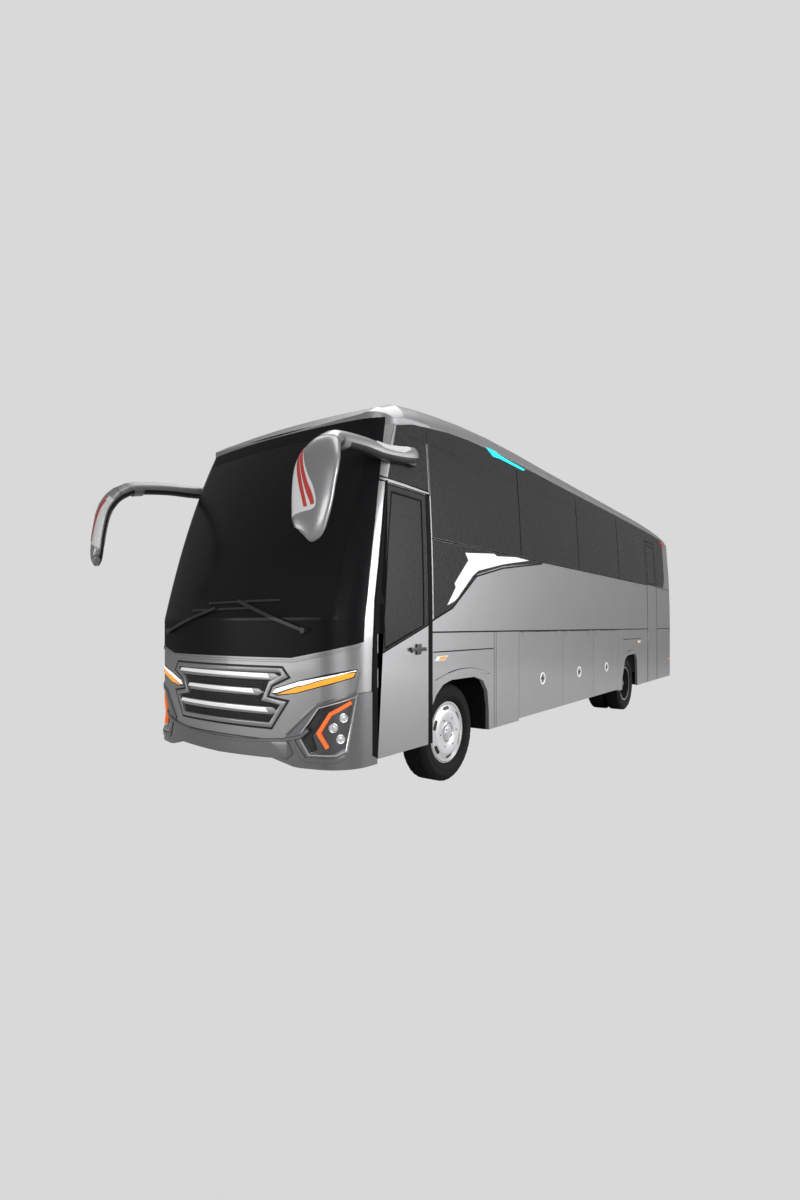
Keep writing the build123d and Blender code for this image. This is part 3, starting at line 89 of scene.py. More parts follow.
add_lamp("front_bank", (11.0, -14.0, 4.0), (1.0, -4.5, 1.6), 9.0, 5.0, 780)
add_lamp("side_bank", (14.0, 6.5, 4.5), (1.0, -2.0, 1.8), 7.0, 7.0, 1750)
add_lamp("front_low", (-5.0, -15.0, 1.6), (0.2, -5.0, 1.1), 8.0, 2.6, 300)
add_lamp("overhead", (0.5, 0.0, 12.0), (0, 0, 0), 8.0, 16.0, 1000)
bpy.context.scene.view_settings.view_transform = "Standard"

backdrop = 0.694
surround = 0.14
bright_top = 2.2


def add_node(tree, kind, values=(), **settings):
    """Add a node with its settings and the values of its open inputs."""
    node = tree.nodes.new(kind)
    for name, value in settings.items():
        setattr(node, name, value)
    for name, value in dict(values).items():
        node.inputs[name].default_value = value
    return node


def join(tree, *wires):
    """Link nodes; a wire is the node and output it leaves and the node and input it enters."""
    for source, leaves, target, enters in wires:
        tree.links.new(source.outputs[leaves], target.inputs[enters])


def make_world():
    """Even pale backdrop for the camera, and a darker surround with a bright top for what reflects it."""
    world = bpy.data.worlds.new("studio")
    world.use_nodes = True
    tree = world.node_tree
    seen = tree.nodes["Background"]
    seen.inputs["Color"].default_value = (backdrop, backdrop, backdrop, 1)
    lit = add_node(tree, "ShaderNodeBackground")
    where = add_node(tree, "ShaderNodeTexCoord")
    apart = add_node(tree, "ShaderNodeSeparateXYZ")
    shade = add_node(tree, "ShaderNodeMapRange", {"From Min": -0.1, "From Max": 0.9, "To Min": surround,
                                                  "To Max": surround * bright_top})
    path = add_node(tree, "ShaderNodeLightPath")
    mix = add_node(tree, "ShaderNodeMixShader")
    join(tree, (where, "Generated", apart, 0), (apart, "Z", shade, "Value"), (shade, "Result", lit, "Color"),
         (path, "Is Camera Ray", mix, "Fac"), (lit, 0, mix, 1), (seen, 0, mix, 2),
         (mix, 0, tree.nodes["World Output"], "Surface"))
    return world


bpy.context.scene.world = make_world()
road_dust = (0.3, 0.28, 0.25, 1)
grain_swing = 0.12


def make_group(name, kind, inputs, outputs):
    """Node group with the sockets that it takes and gives, and its two end nodes."""
    group = bpy.data.node_groups.new(name, kind)
    for direction, sockets in (("INPUT", inputs), ("OUTPUT", outputs)):
        for label, word, *value in sockets:
            socket = group.interface.new_socket(name=label, in_out=direction, socket_type="NodeSocket" + word)
            if value:
                socket.default_value = value[0]
    return group, group.nodes.new("NodeGroupInput"), group.nodes.new("NodeGroupOutput")


def make_weathering_group():
    """Slow mottling, fine grain and road dust that gathers low down."""
    group, given, out = make_group(
        "weathering", "ShaderNodeTree",
        [("Colour", "Color"), ("Roughness", "Float", 0.4), ("Mottle", "Float", 0.1),
         ("Grain Scale", "Float", 300.0), ("Dust", "Float", 0.0)],
        [("Colour", "Color"), ("Roughness", "Float"), ("Height", "Float")])
    where = add_node(group, "ShaderNodeTexCoord")
    slow = add_node(group, "ShaderNodeTexNoise", {"Scale": 1.7, "Detail": 5.0})
    fine = add_node(group, "ShaderNodeTexNoise", {"Detail": 2.0})
    apart = add_node(group, "ShaderNodeSeparateXYZ")
    shade = add_node(group, "ShaderNodeMapRange", {"From Min": 0.3, "From Max": 0.7, "To Max": 1.0})
    minus = add_node(group, "ShaderNodeMath", {1: -1.0}, operation="MULTIPLY")
    darker = add_node(group, "ShaderNodeMath", {2: 1.0}, operation="MULTIPLY_ADD")
    tone = add_node(group, "ShaderNodeMix", {"Factor": 1.0}, data_type="RGBA", blend_type="MULTIPLY")
    low = add_node(group, "ShaderNodeMapRange", {"From Min": 1.1, "From Max": 0.3})
    amount = add_node(group, "ShaderNodeMath", operation="MULTIPLY")
    patchy = add_node(group, "ShaderNodeMath", operation="MULTIPLY")
    dusty = add_node(group, "ShaderNodeMix", {"B": road_dust}, data_type="RGBA")
    rough = add_node(group, "ShaderNodeMath", {1: grain_swing}, operation="MULTIPLY_ADD")
    join(group, (where, "Object", slow, "Vector"), (where, "Object", fine, "Vector"), (where, "Object", apart, 0),
         (given, "Grain Scale", fine, "Scale"), (slow, "Fac", shade, "Value"), (given, "Mottle", minus, 0),
         (shade, "Result", darker, 0), (minus, 0, darker, 1), (given, "Colour", tone, "A"),
         (darker, 0, tone, "B"), (apart, "Z", low, "Value"), (low, "Result", amount, 0),
         (given, "Dust", amount, 1), (amount, 0, patchy, 0), (slow, "Fac", patchy, 1),
         (patchy, 0, dusty, "Factor"), (tone, "Result", dusty, "A"), (dusty, "Result", out, "Colour"),
         (fine, "Fac", rough, 0), (given, "Roughness", rough, 2), (rough, 0, out, "Roughness"),
         (fine, "Fac", out, "Height"))
    return group


weathering = make_weathering_group()


def make_finish(name, colour, roughness, metallic=0.0, coat=0.0, mottle=0.06, grain=300.0, bump=0.02,
                dust=0.0, glow=0.0, specular=0.5):
    """Material of one finish: its constants sit on the shader, its variation comes from the group."""
    material = bpy.data.materials.new(name)
    material.use_nodes = True
    tree = material.node_tree
    shader = tree.nodes["Principled BSDF"]
    shader.inputs["Metallic"].default_value = metallic
    shader.inputs["Coat Weight"].default_value = coat
    shader.inputs["Coat Roughness"].default_value = 0.06
    shader.inputs["Specular IOR Level"].default_value = specular
    if glow:
        shader.inputs["Emission Color"].default_value = (*colour, 1)
        shader.inputs["Emission Strength"].default_value = glow
    worn = add_node(tree, "ShaderNodeGroup",
                    {"Colour": (*colour, 1), "Roughness": max(0.0, roughness - grain_swing / 2),
                     "Mottle": mottle, "Grain Scale": grain, "Dust": dust}, node_tree=weathering)
    ripple = add_node(tree, "ShaderNodeBump", {"Strength": bump, "Distance": 0.002})
    join(tree, (worn, "Colour", shader, "Base Color"), (worn, "Roughness", shader, "Roughness"),
         (worn, "Height", ripple, "Height"), (ripple, "Normal", shader, "Normal"))
    return material


def dress(material, *names):
    """Give CAD nodes their finish."""
    for name in names:
        for slot in nodes[name].material_slots:
            slot.material = material


# Studio floor. A plain matt floor of pale board that runs on into the backdrop without a line; the
# camera sees it as evenly lit as the backdrop, without a shadow.
floor_reach = 60.0


def make_floor_finish():
    """Pale matt floor that the camera sees as evenly lit as the backdrop."""
    material = bpy.data.materials.new("studio_floor")
    material.use_nodes = True
    tree = material.node_tree
    matt = tree.nodes["Principled BSDF"]
    matt.inputs["Base Color"].default_value = (0.55, 0.55, 0.55, 1)
    matt.inputs["Roughness"].default_value = 0.9
    even = add_node(tree, "ShaderNodeEmission", {"Color": (backdrop, backdrop, backdrop, 1)})
    path = add_node(tree, "ShaderNodeLightPath")
    mix = add_node(tree, "ShaderNodeMixShader")
    join(tree, (path, "Is Camera Ray", mix, "Fac"), (matt, 0, mix, 1), (even, 0, mix, 2),
         (mix, 0, tree.nodes["Material Output"], "Surface"))
    return material


floor_mesh = bpy.data.meshes.new("studio_floor")
floor_mesh.from_pydata([(-floor_reach, -floor_reach, 0), (floor_reach, -floor_reach, 0),
                        (floor_reach, floor_reach, 0), (-floor_reach, floor_reach, 0)], [], [(0, 1, 2, 3)])
floor_mesh.materials.append(make_floor_finish())
studio_floor = bpy.data.objects.new("studio_floor", floor_mesh)
bpy.context.collection.objects.link(studio_floor)
studio_floor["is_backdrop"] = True

# Chassis, axles, floor and running gear. Welded steel, painted black, dusty from the road; the
# engine is a cast block and the fuel tank is brushed aluminium.
chassis_paint = make_finish("chassis_paint", (0.03, 0.03, 0.032), 0.5, mottle=0.3, dust=0.35)
dress(chassis_paint, "chassis_frame", "floor_bearers", "front_axle", "rear_axle", "knuckle_left", "knuckle_right")
floor_sheet = make_finish("floor_sheet", (0.06, 0.06, 0.064), 0.6, mottle=0.2, dust=0.2)
dress(floor_sheet, "floor_deck")
bay_sheet = make_finish("bay_sheet", (0.018, 0.018, 0.019), 0.65, mottle=0.2, dust=0.15)
dress(bay_sheet, "wheel_boxes", "luggage_bays")
cast_iron = make_finish("cast_iron", (0.1, 0.1, 0.11), 0.65, metallic=0.4, mottle=0.25, bump=0.2)
dress(cast_iron, "engine_block")
brushed_tank = make_finish("brushed_tank", (0.42, 0.42, 0.44), 0.35, metallic=0.9, dust=0.3)
dress(brushed_tank, "fuel_tank")

# Body panels. Pressed steel and moulded panels in one silver-grey metallic paint under clear
# lacquer, a shade darker on the bumper, with a light film of dust along the skirts.
body_paint = make_finish("body_paint", (0.3, 0.3, 0.305), 0.36, metallic=0.55, coat=0.5, grain=900.0,
                         bump=0.015, mottle=0.05, dust=0.1)
bumper_paint = make_finish("bumper_paint", (0.16, 0.16, 0.165), 0.36, metallic=0.55, coat=0.5, grain=900.0,
                           bump=0.015, mottle=0.05, dust=0.08)
dress(body_paint, "side_wall_left", "side_wall_right", "roof_shell", "front_mask", "rear_panel", "engine_lid",
      "front_door", "driver_door", "rear_door", "roof_unit", "mirrors")
for place in ("front", "middle", "rear"):
    dress(body_paint, "luggage_flap_left_" + place, "luggage_flap_right_" + place)
dress(bumper_paint, "front_bumper")

# Glass. Bonded panes of dark privacy glass, almost black from outside.
screen_glass = make_finish("screen_glass", (0.012, 0.012, 0.013), 0.2, grain=20.0, bump=0.0002, mottle=0.05,
                           specular=0.08)
dress(screen_glass, "windscreen", "rear_window")
dark_glass = make_finish("dark_glass", (0.04, 0.04, 0.041), 0.28, grain=20.0, bump=0.0002, mottle=0.02,
                         specular=0.04)
dress(dark_glass, "side_glass", "front_door_glass", "driver_door_glass", "rear_door_glass")

# Small black parts and tail lamps. Moulded plastic of the wipers and the dashboard, left a little
# grainy, and red moulded lamp bodies in the rear panel.
black_plastic = make_finish("black_plastic", (0.015, 0.015, 0.015), 0.45, bump=0.05)
dress(black_plastic, "wipers", "dashboard")
lamp_red = make_finish("lamp_red", (0.42, 0.02, 0.015), 0.15)
dress(lamp_red, "tail_lamps")

# Side skin. One upright wall that leans in above the waist on a long arc; everything fixed to it is
# cut to an outline and laid on that curve, so each piece is given as along, up and out of the skin.
body_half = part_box("side_wall_left")[1].x
waist = 1.45
tumblehome = 22.0


def left_side(along, up, out):
    lean = math.asin(max(0.0, up - waist) / tumblehome)
    reach = tumblehome + out
    x = body_half - tumblehome + reach * math.cos(lean)
    z = up if up < waist else waist + reach * math.sin(lean)
    return Vector((x, along, z))


def right_side(along, up, out):
    point = left_side(along, up, out)
    return Vector((-point.x, point.y, point.z))


both_sides = (left_side, right_side)


def area_of(outline):
    return sum(a[0] * b[1] - b[0] * a[1] for a, b in zip(outline, outline[1:] + outline[:1]))


def press(bm, outline, place, low, high, step=None, bevel=0.0, finish=0, inner=None):
    """Add a flat shape cut to an outline, or a ring to two, laid on a curved skin between two heights."""
    if area_of(outline) < 0:
        outline = outline[::-1]
        inner = inner[::-1] if inner else None
    flat = bmesh.new()
    rings = [outline, inner] if inner else [outline]
    tops = [[flat.verts.new((u, v, high)) for u, v in ring] for ring in rings]
    feet = [[flat.verts.new((u, v, low)) for u, v in ring] for ring in rings]
    count = len(outline)
    rim = []
    for i in range(count):
        j = (i + 1) % count
        rim.append(flat.faces.new((feet[0][i], feet[0][j], tops[0][j], tops[0][i])))
        if inner:
            rim.append(flat.faces.new((feet[1][j], feet[1][i], tops[1][i], tops[1][j])))
            flat.faces.new((tops[0][i], tops[0][j], tops[1][j], tops[1][i]))
            flat.faces.new((feet[1][i], feet[1][j], feet[0][j], feet[0][i]))
    if not inner:
        flat.faces.new(tops[0])
        flat.faces.new(feet[0][::-1])
    if bevel:
        top_edges = [e for e in flat.edges if all(abs(v.co.z - high) < 1e-7 for v in e.verts)
                     and any(f in rim for f in e.link_faces)]
        bmesh.ops.bevel(flat, geom=top_edges, offset=bevel, segments=2, profile=0.6, affect="EDGES")
    bmesh.ops.triangulate(flat, faces=flat.faces[:], ngon_method="EAR_CLIP")
    for axis, width in enumerate(step or ()):
        if not width:
            continue
        values = [v.co[axis] for v in flat.verts]
        cut = math.ceil(min(values) / width) * width
        while cut < max(values):
            normal = Vector((axis == 0, axis == 1, 0))
            bmesh.ops.bisect_plane(flat, geom=flat.verts[:] + flat.edges[:] + flat.faces[:], dist=1e-5,
                                   plane_co=normal * cut, plane_no=normal)
            cut += width
    for vert in flat.verts:
        vert.co = place(*vert.co)
    add_mesh(bm, flat, finish)


def add_mesh(bm, other, finish=0):
    """Join a form to a piece with its faces turned outwards, in one finish unless that is None."""
    bmesh.ops.recalc_face_normals(other, faces=other.faces[:])
    if finish is not None:
        for face in other.faces:
            face.material_index = finish
    mesh = bpy.data.meshes.new("joined")
    other.to_mesh(mesh)
    other.free()
    bm.from_mesh(mesh)
    bpy.data.meshes.remove(mesh)


def make_piece(name, bm, finishes, body, replaced=(), crease=35):
    """Finish a piece: mesh, smooth faces with sharp creases, finishes, body and material slot."""
    mesh = bpy.data.meshes.new(name)
    bm.to_mesh(mesh)
    bm.free()
    mesh.shade_smooth()
    mesh.set_sharp_from_angle(angle=math.radians(crease))
    for finish in finishes:
        mesh.materials.append(finish)
    piece = bpy.data.objects.new(name, mesh)
    bpy.context.collection.objects.link(piece)
    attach(piece, body)
    if replaced:
        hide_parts(*replaced)
    return piece


def strip(points, half, closed=False):
    """Outline of a strip of even width that follows a line of points."""
    left, right = [], []
    last = len(points) - 1
    for i, (u, v) in enumerate(points):
        before = points[i - 1] if i or closed else points[i]
        after = points[(i + 1) % (last + 1)] if i < last or closed else points[i]
        run_a = Vector((u - before[0], v - before[1]))
        run_b = Vector((after[0] - u, after[1] - v))
        run_a = run_a.normalized() if run_a.length else run_b.normalized()
        run_b = run_b.normalized() if run_b.length else run_a
        along = (run_a + run_b).normalized()
        reach = half / max(0.3, along.dot(run_b))
        left.append((u - along.y * reach, v + along.x * reach))
        right.append((u + along.y * reach, v - along.x * reach))
    return (left, right) if closed else left + right[::-1]


def trim_line(bm, points, half, place, low, high, closed=False, finish=0, longest=0.12):
    """Add a moulding of even width with soft shoulders that follows a line over a skin."""
    line = []
    for a, b in zip(points, points[1:] + points[:1] if closed else points[1:]):
        count = max(1, math.ceil(math.dist(a, b) / longest))
        line += [(a[0] + (b[0] - a[0]) * i / count, a[1] + (b[1] - a[1]) * i / count) for i in range(count)]
    if not closed:
        line.append(points[-1])
    edges = strip(line, half, closed)
    left, right = edges if closed else (edges[:len(line)], edges[:len(line) - 1:-1])
    shoulder = min(half, high - low) * 0.4
    share = shoulder / half / 2
    section = ((0, low), (0, high - shoulder), (share, high), (1 - share, high), (1, high - shoulder), (1, low))
    flat = bmesh.new()
    rings = [[flat.verts.new(place(a[0] + (b[0] - a[0]) * t, a[1] + (b[1] - a[1]) * t, out))
              for t, out in section] for a, b in zip(left, right)]
    for a, b in zip(rings, rings[1:] + rings[:1] if closed else rings[1:]):
        for i in range(6):
            flat.faces.new((a[i], a[(i + 1) % 6], b[(i + 1) % 6], b[i]))
    if not closed:
        flat.faces.new(rings[0])
        flat.faces.new(rings[-1])
    add_mesh(bm, flat, finish)


# Side mouldings. Black rubber strips pressed into the gaps between the side panels, and thin dark
# lines where the lower panels meet; all are bonded in place on both sides.
seal_rubber = make_finish("seal_rubber", (0.005, 0.005, 0.005), 0.7, bump=0.05, specular=0.08)
side_step = (None, 0.12)


def oblong(u0, v0, u1, v1):
    return [(u0, v0), (u1, v0), (u1, v1), (u0, v1)]


def side_lines(bm, place, *rows):
    """Add straight mouldings; a row is its two ends, half its width, its foot and its top."""
    for u0, v0, u1, v1, half, low, high in rows:
        trim_line(bm, [(u0, v0), (u1, v1)], half, place, low, high)


moulding = bmesh.new()
for place in both_sides:
    waist_end = 3.722 if place is left_side else 5.66
    side_lines(moulding, place,
               (-4.082, 1.446, waist_end, 1.446, 0.007, -0.004, 0.005),
               (-4.068, 1.262, -2.873, 1.262, 0.0055, -0.004, 0.003),
               (-2.853, 0.415, -2.853, 1.438, 0.003, -0.004, 0.0015),
               (-2.807, 0.415, -2.807, 1.438, 0.003, -0.004, 0.0015),
               (2.05, 1.268, 3.23, 1.268, 0.005, -0.004, 0.003),
               (-4.83, 2.705, -4.085, 2.705, 0.005, -0.004, 0.002),
               (-4.83, 2.738, -4.085, 2.738, 0.005, -0.004, 0.002),
               (-4.065, 2.311, 3.7, 2.311, 0.007, -0.006, 0.0045))
    sweep = [(-4.082, 1.552), (-3.72, 1.676), (-3.23, 2.016), (-2.62, 2.146), (-1.5, 2.29)]
    trim_line(moulding, sweep, 0.009, place, -0.006, 0.003, longest=0.05)
    side_lines(moulding, place, (-4.072, 2.7, -4.072, 3.335, 0.006, -0.006, 0.002))
    press(moulding, oblong(-4.143, 0.432, -4.083, 2.712), place, -0.006, 0.004, side_step, bevel=0.002)
    front_seal = [(-4.968, 0.47), (-4.968, 1.0), (-4.96, 1.272), (-4.93, 1.712), (-4.865, 2.047),
                  (-4.775, 2.55), (-4.735, 2.715)]
    rear_of_seal = [(-4.725, 2.715), (-4.752, 2.55), (-4.822, 2.047), (-4.868, 1.712), (-4.903, 1.45),
                    (-4.903, 1.0), (-4.903, 0.44)]
    press(moulding, front_seal + rear_of_seal, place, -0.004, 0.009, side_step)
side_lines(moulding, left_side,
           (4.475, 1.446, 5.66, 1.446, 0.007, -0.004, 0.005),
           (3.728, 0.405, 3.728, 3.19, 0.007, -0.004, 0.003),
           (4.47, 0.405, 4.47, 3.19, 0.007, -0.004, 0.003),
           (3.728, 3.19, 4.47, 3.19, 0.012, -0.004, 0.004),
           (4.478, 2.305, 5.66, 2.29, 0.005, -0.004, 0.003))
make_piece("side_mouldings", moulding, [seal_rubber], "coach")

# Mud flaps. Black rubber sheets with upright ribs that hang behind each wheel and close the arch;
# they are bolted to the sills.
flaps = bmesh.new()


def slab(bm, low, high, bevel, finish=0):
    """Add a box with softened edges between two corners."""
    box = bmesh.new()
    bmesh.ops.create_cube(box, size=1.0)
    low, high = Vector(low), Vector(high)
    for vert in box.verts:
        vert.co = Vector(((low[i] + high[i]) / 2 + vert.co[i] * (high[i] - low[i]) for i in range(3)))
    bmesh.ops.bevel(box, geom=box.edges[:], offset=bevel, segments=2, profile=0.6, affect="EDGES")
    add_mesh(bm, box, finish)


for side in (-1, 1):
    for inner_edge, outer_edge, y in ((0.72, 1.214, -2.99), (0.6, 1.214, 3.03)):
        low, high = sorted((side * inner_edge, side * outer_edge))
        slab(flaps, (low, y, 0.4), (high, y + 0.008, 0.94), 0.003)
        for i in range(5):
            rib = low + (high - low) * (i + 0.5) / 5
            slab(flaps, (rib - 0.012, y - 0.004, 0.43), (rib + 0.012, y + 0.004, 0.9), 0.003)
make_piece("mud_flaps", flaps, [seal_rubber], "coach")

# Window surrounds. Dark ceramic print and sealant between the bonded side panes, drawn as fine
# lines between one pane and the next.
pane_seams = bmesh.new()
for place in both_sides:
    for seam in (-2.123, -0.143, 1.847):
        trim_line(pane_seams, [(seam, 2.325), (seam, 3.36)], 0.007, place, -0.006, 0.0045)
trim_line(pane_seams, [(3.697, 2.325), (3.697, 3.36)], 0.007, right_side, -0.006, 0.0045)
make_piece("pane_seams", pane_seams, [seal_rubber], "coach")

# Glass borders. Dark printed glass that carries the panes' line over the roof's lower edge and over
# the pillars beside the rear door; it is bonded like the panes.
borders = bmesh.new()
along_step = (0.25, None)
head_line = [(-4.47, 3.235), (-4.44, 3.261), (-4.3, 3.305), (-4.044, 3.342), (-3.668, 3.394), (-3.267, 3.424),
             (-2.867, 3.436), (-1.886, 3.43), (-0.7, 3.424), (0.55, 3.42), (2.18, 3.41), (3.72, 3.395)]
for place in both_sides:
    ending = [(4.5, 3.375), (5.1, 3.35), (5.1, 3.3)] if place is left_side else [(3.72, 3.3)]
    press(borders, head_line + ending + [(3.72, 3.25), (-2.0, 3.3), (-4.0, 3.26), (-4.44, 3.18)], place,
          -0.003, 0.0015, along_step)
for start, end in ((3.64, 3.722), (4.476, 4.56)):
    press(borders, oblong(start, 2.318, end, 3.34), left_side, -0.003, 0.0015, side_step)
press(borders, oblong(3.7, 3.206, 4.5, 3.34), left_side, -0.003, 0.0015, along_step)
make_piece("glass_borders", borders, [dark_glass], "coach")

# Wheel arch flares. Shallow crescents in body colour over each wheel, with a rubber lip along the
# top; they are pressed from sheet and welded to the side.
flares = bmesh.new()


def bow(start, top, end, count=14):
    """Points of the round bow through three places."""
    middle = [2 * m - (a + b) / 2 for a, m, b in zip(start, top, end)]
    points = []
    for i in range(count + 1):
        t = i / count
        first, second, third = (1 - t) ** 2, 2 * t * (1 - t), t * t
        points.append(tuple(first * a + second * m + third * b for a, m, b in zip(start, middle, end)))
    return points


flare_depth = 0.055
arch_bows = (((-4.05, 1.0), (-3.49, 1.082), (-2.965, 0.998)), ((2.1, 1.0), (2.58, 1.066), (3.06, 0.998)))
for place in both_sides:
    for start, top, end in arch_bows:
        outer = bow(start, top, end)
        inner = bow(start, (top[0], top[1] - flare_depth), end)
        press(flares, outer + inner[1:-1][::-1], place, -0.004, 0.016, bevel=0.007)
        trim_line(flares, outer[3:], 0.004, place, -0.004, 0.008, finish=1)
make_piece("arch_flares", flares, [body_paint, seal_rubber], "coach", crease=25)

# Door glass frames. Charcoal surround with a black rubber line round each front door's pane and round
# the rear door's; they are bonded to the doors and swing with them.
for place, door in ((left_side, "front_door"), (right_side, "driver_door")):
    bm = bmesh.new()
    surround_line = [(-4.893, 1.262), (-4.15, 1.512), (-4.15, 2.69), (-4.742, 2.69), (-4.812, 2.2),
                     (-4.893, 1.56)]
    pane_line = [(-4.8, 1.318), (-4.226, 1.512), (-4.226, 2.63), (-4.672, 2.63), (-4.742, 2.2),
                 (-4.812, 1.56)]
    press(bm, surround_line, place, -0.004, 0.003, side_step, inner=pane_line)
    trim_line(bm, pane_line, 0.008, place, -0.004, 0.006, closed=True, finish=1)
    trim_line(bm, surround_line, 0.006, place, -0.004, 0.006, closed=True, finish=1)
    make_piece(door + "_frame", bm, [dark_glass, seal_rubber], door)
bm = bmesh.new()
pane_line = oblong(3.8, 2.345, 4.4, 3.11)
press(bm, oblong(3.738, 2.312, 4.46, 3.176), left_side, -0.004, 0.003, side_step, inner=pane_line)
trim_line(bm, pane_line, 0.006, left_side, -0.004, 0.005, closed=True, finish=1)
make_piece("rear_door_frame", bm, [dark_glass, seal_rubber], "rear_door")

# Door handles. Black moulded pull with a lock plate across it and a small key boss behind it,
# screwed to each front door.
for place, door in ((left_side, "front_door"), (right_side, "driver_door")):
    bm = bmesh.new()
    press(bm, [(-4.45, 1.285), (-4.215, 1.28), (-4.215, 1.312), (-4.45, 1.316)], place, 0.006, 0.028,
          bevel=0.006)
    press(bm, [(-4.355, 1.25), (-4.29, 1.25), (-4.28, 1.345), (-4.35, 1.345)], place, -0.002, 0.018,
          bevel=0.006)
    press(bm, oblong(-4.425, 1.27, -4.405, 1.3), place, -0.002, 0.012, bevel=0.003)
    make_piece(door + "_handle", bm, [black_plastic], door)

# Side ornament. White moulded trim over the swept quarter pane, in two layers, with no lettering; it
# is bonded to the glass and the body. Its white glows faintly though it is no lamp: a painted highlight.
# White that glows faintly though the trim is no lamp: a painted highlight.
white_trim_painted_glow = make_finish("white_trim_painted_glow", (0.84, 0.84, 0.84), 0.25, coat=0.3, mottle=0.02, glow=0.28)
wing = [(-3.823, 1.7), (-3.69, 1.745), (-3.64, 1.775), (-3.33, 2.015), (-3.205, 2.078), (-2.62, 2.19),
        (-1.911, 2.293), (-2.288, 2.299), (-2.768, 2.262), (-2.836, 2.286), (-3.455, 2.235), (-3.4, 2.165),
        (-3.59, 2.0), (-3.684, 1.915), (-3.66, 1.88)]
blade = [(-3.6, 1.87), (-3.3, 2.06), (-3.12, 2.13), (-2.6, 2.215), (-2.05, 2.285), (-2.74, 2.25),
         (-2.9, 2.258), (-3.29, 2.215)]
ornament = bmesh.new()
for place in both_sides:
    press(ornament, wing, place, -0.004, 0.008, (0.3, 0.12), bevel=0.003)
    press(ornament, blade, place, 0.006, 0.013, (0.3, 0.12), bevel=0.003)
make_piece("side_ornament", ornament, [white_trim_painted_glow], "coach")

# Roof side lamp. A cyan light guide, moulded in tinted plastic, under the roof edge; it is bonded on
# the head of the windows.
cyan_glow = make_finish("cyan_glow", (0.01, 0.72, 0.76), 0.3, glow=0.75, mottle=0.0)
guide = bmesh.new()
for place in both_sides:
    press(guide, [(-2.88, 3.445), (-2.66, 3.45), (-2.54, 3.428), (-1.88, 3.412), (-1.92, 3.388), (-2.56, 3.392),
                  (-2.72, 3.378)], place, -0.004, 0.01, (0.3, None), bevel=0.003)
make_piece("roof_side_lamp", guide, [cyan_glow], "coach")

# Marker lamps. Small amber lenses in clear housings on the front wings and behind the rear wheels,
# an amber corner lamp at the tail and a red one under the roof's end.
amber = make_finish("amber", (0.85, 0.33, 0.03), 0.15, glow=0.15, mottle=0.02)
clear_lens = make_finish("clear_lens", (0.8, 0.8, 0.8), 0.08, mottle=0.02)
red_lens = make_finish("red_lens", (0.55, 0.02, 0.015), 0.12, glow=0.1, mottle=0.02)
markers = bmesh.new()
for place in both_sides:
    for outline, low, high, finish in (
            ([(-4.055, 1.18), (-3.885, 1.178), (-3.81, 1.224), (-4.005, 1.222)], -0.003, 0.007, 0),
            ([(-3.985, 1.187), (-3.895, 1.186), (-3.84, 1.216), (-3.955, 1.215)], 0.005, 0.01, 1),
            ([(3.01, 1.185), (3.19, 1.185), (3.17, 1.232), (2.96, 1.23)], -0.003, 0.007, 0),
            ([(3.06, 1.192), (3.16, 1.192), (3.15, 1.222), (3.03, 1.221)], 0.005, 0.01, 1),
            (oblong(5.5, 0.765, 5.62, 0.795), -0.003, 0.008, 1)):
        press(markers, outline, place, low, high, bevel=0.002, finish=finish)
    press(markers, [(5.02, 3.318), (5.46, 3.296), (5.4, 3.262), (5.1, 3.272)], place, -0.003, 0.01,
          (0.1, None), bevel=0.002, finish=2)
make_piece("marker_lamps", markers, [clear_lens, amber, red_lens], "coach")

# Luggage flap handles. A silver ring round a black dish, with a folded black lever in it; each is
# moulded in plastic and riveted to its flap. The ring's silver glows faintly, a painted highlight.
chrome = make_finish("chrome", (0.78, 0.78, 0.79), 0.18, metallic=0.9, mottle=0.02)
# Silver that glows faintly though it is no lamp: a painted highlight, on the handle rings and on the grille bars'
# top faces.
silver_painted_glow = make_finish("silver_painted_glow", (0.84, 0.84, 0.84), 0.25, metallic=0.2, coat=0.4, mottle=0.02, glow=0.28)


def disc_outline(along, up, radius, count=32):
    turn = [2 * math.pi * i / count for i in range(count)]
    return [(along + radius * math.cos(a), up + radius * math.sin(a)) for a in turn]


for side, place in (("left", left_side), ("right", right_side)):
    for end in ("front", "middle", "rear"):
        flap = "luggage_flap_" + side + "_" + end
        low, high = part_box(flap)
        middle, up = (low.y + high.y) / 2, 0.843
        bm = bmesh.new()
        press(bm, disc_outline(middle, up, 0.076), place, -0.002, 0.007, bevel=0.003, finish=0,
              inner=disc_outline(middle, up, 0.062))
        press(bm, disc_outline(middle, up, 0.061, 24), place, -0.013, -0.009, finish=1)
        press(bm, oblong(middle - 0.055, up - 0.014, middle + 0.055, up + 0.014), place, -0.012, 0.005,
              bevel=0.005, finish=1)
        press(bm, oblong(middle - 0.018, up - 0.04, middle + 0.002, up + 0.04), place, -0.012, 0.002,
              bevel=0.004, finish=1)
        make_piece(flap + "_handle", bm, [silver_painted_glow, black_plastic], flap)

# Nose skin. Bowed in plan with round corners, upright below and leaning back above; pieces on it are
# given by how far they lie along the bow from the middle, by height and by how far they stand out.
nose_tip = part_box("front_mask")[0].y
rake_start = 1.57
rake_end = 3.24
rake_slope, rake_curve = 0.2558, 0.0727


def nose_plan(height):
    lean = max(0.0, height - rake_start)
    part = lean / (rake_end - rake_start)
    bow_radius = 3.5 + 2.5 * part * part
    corner = 0.32 - 0.07 * min(part, 1.2)
    centre_x = left_side(0.0, height, 0.0).x - corner
    bow_y = nose_tip + rake_slope * lean + rake_curve * lean * lean + bow_radius
    centre_y = bow_y - math.sqrt((bow_radius - corner) ** 2 - centre_x ** 2)
    return bow_radius, bow_y, corner, centre_x, centre_y, math.atan2(centre_x, bow_y - centre_y)


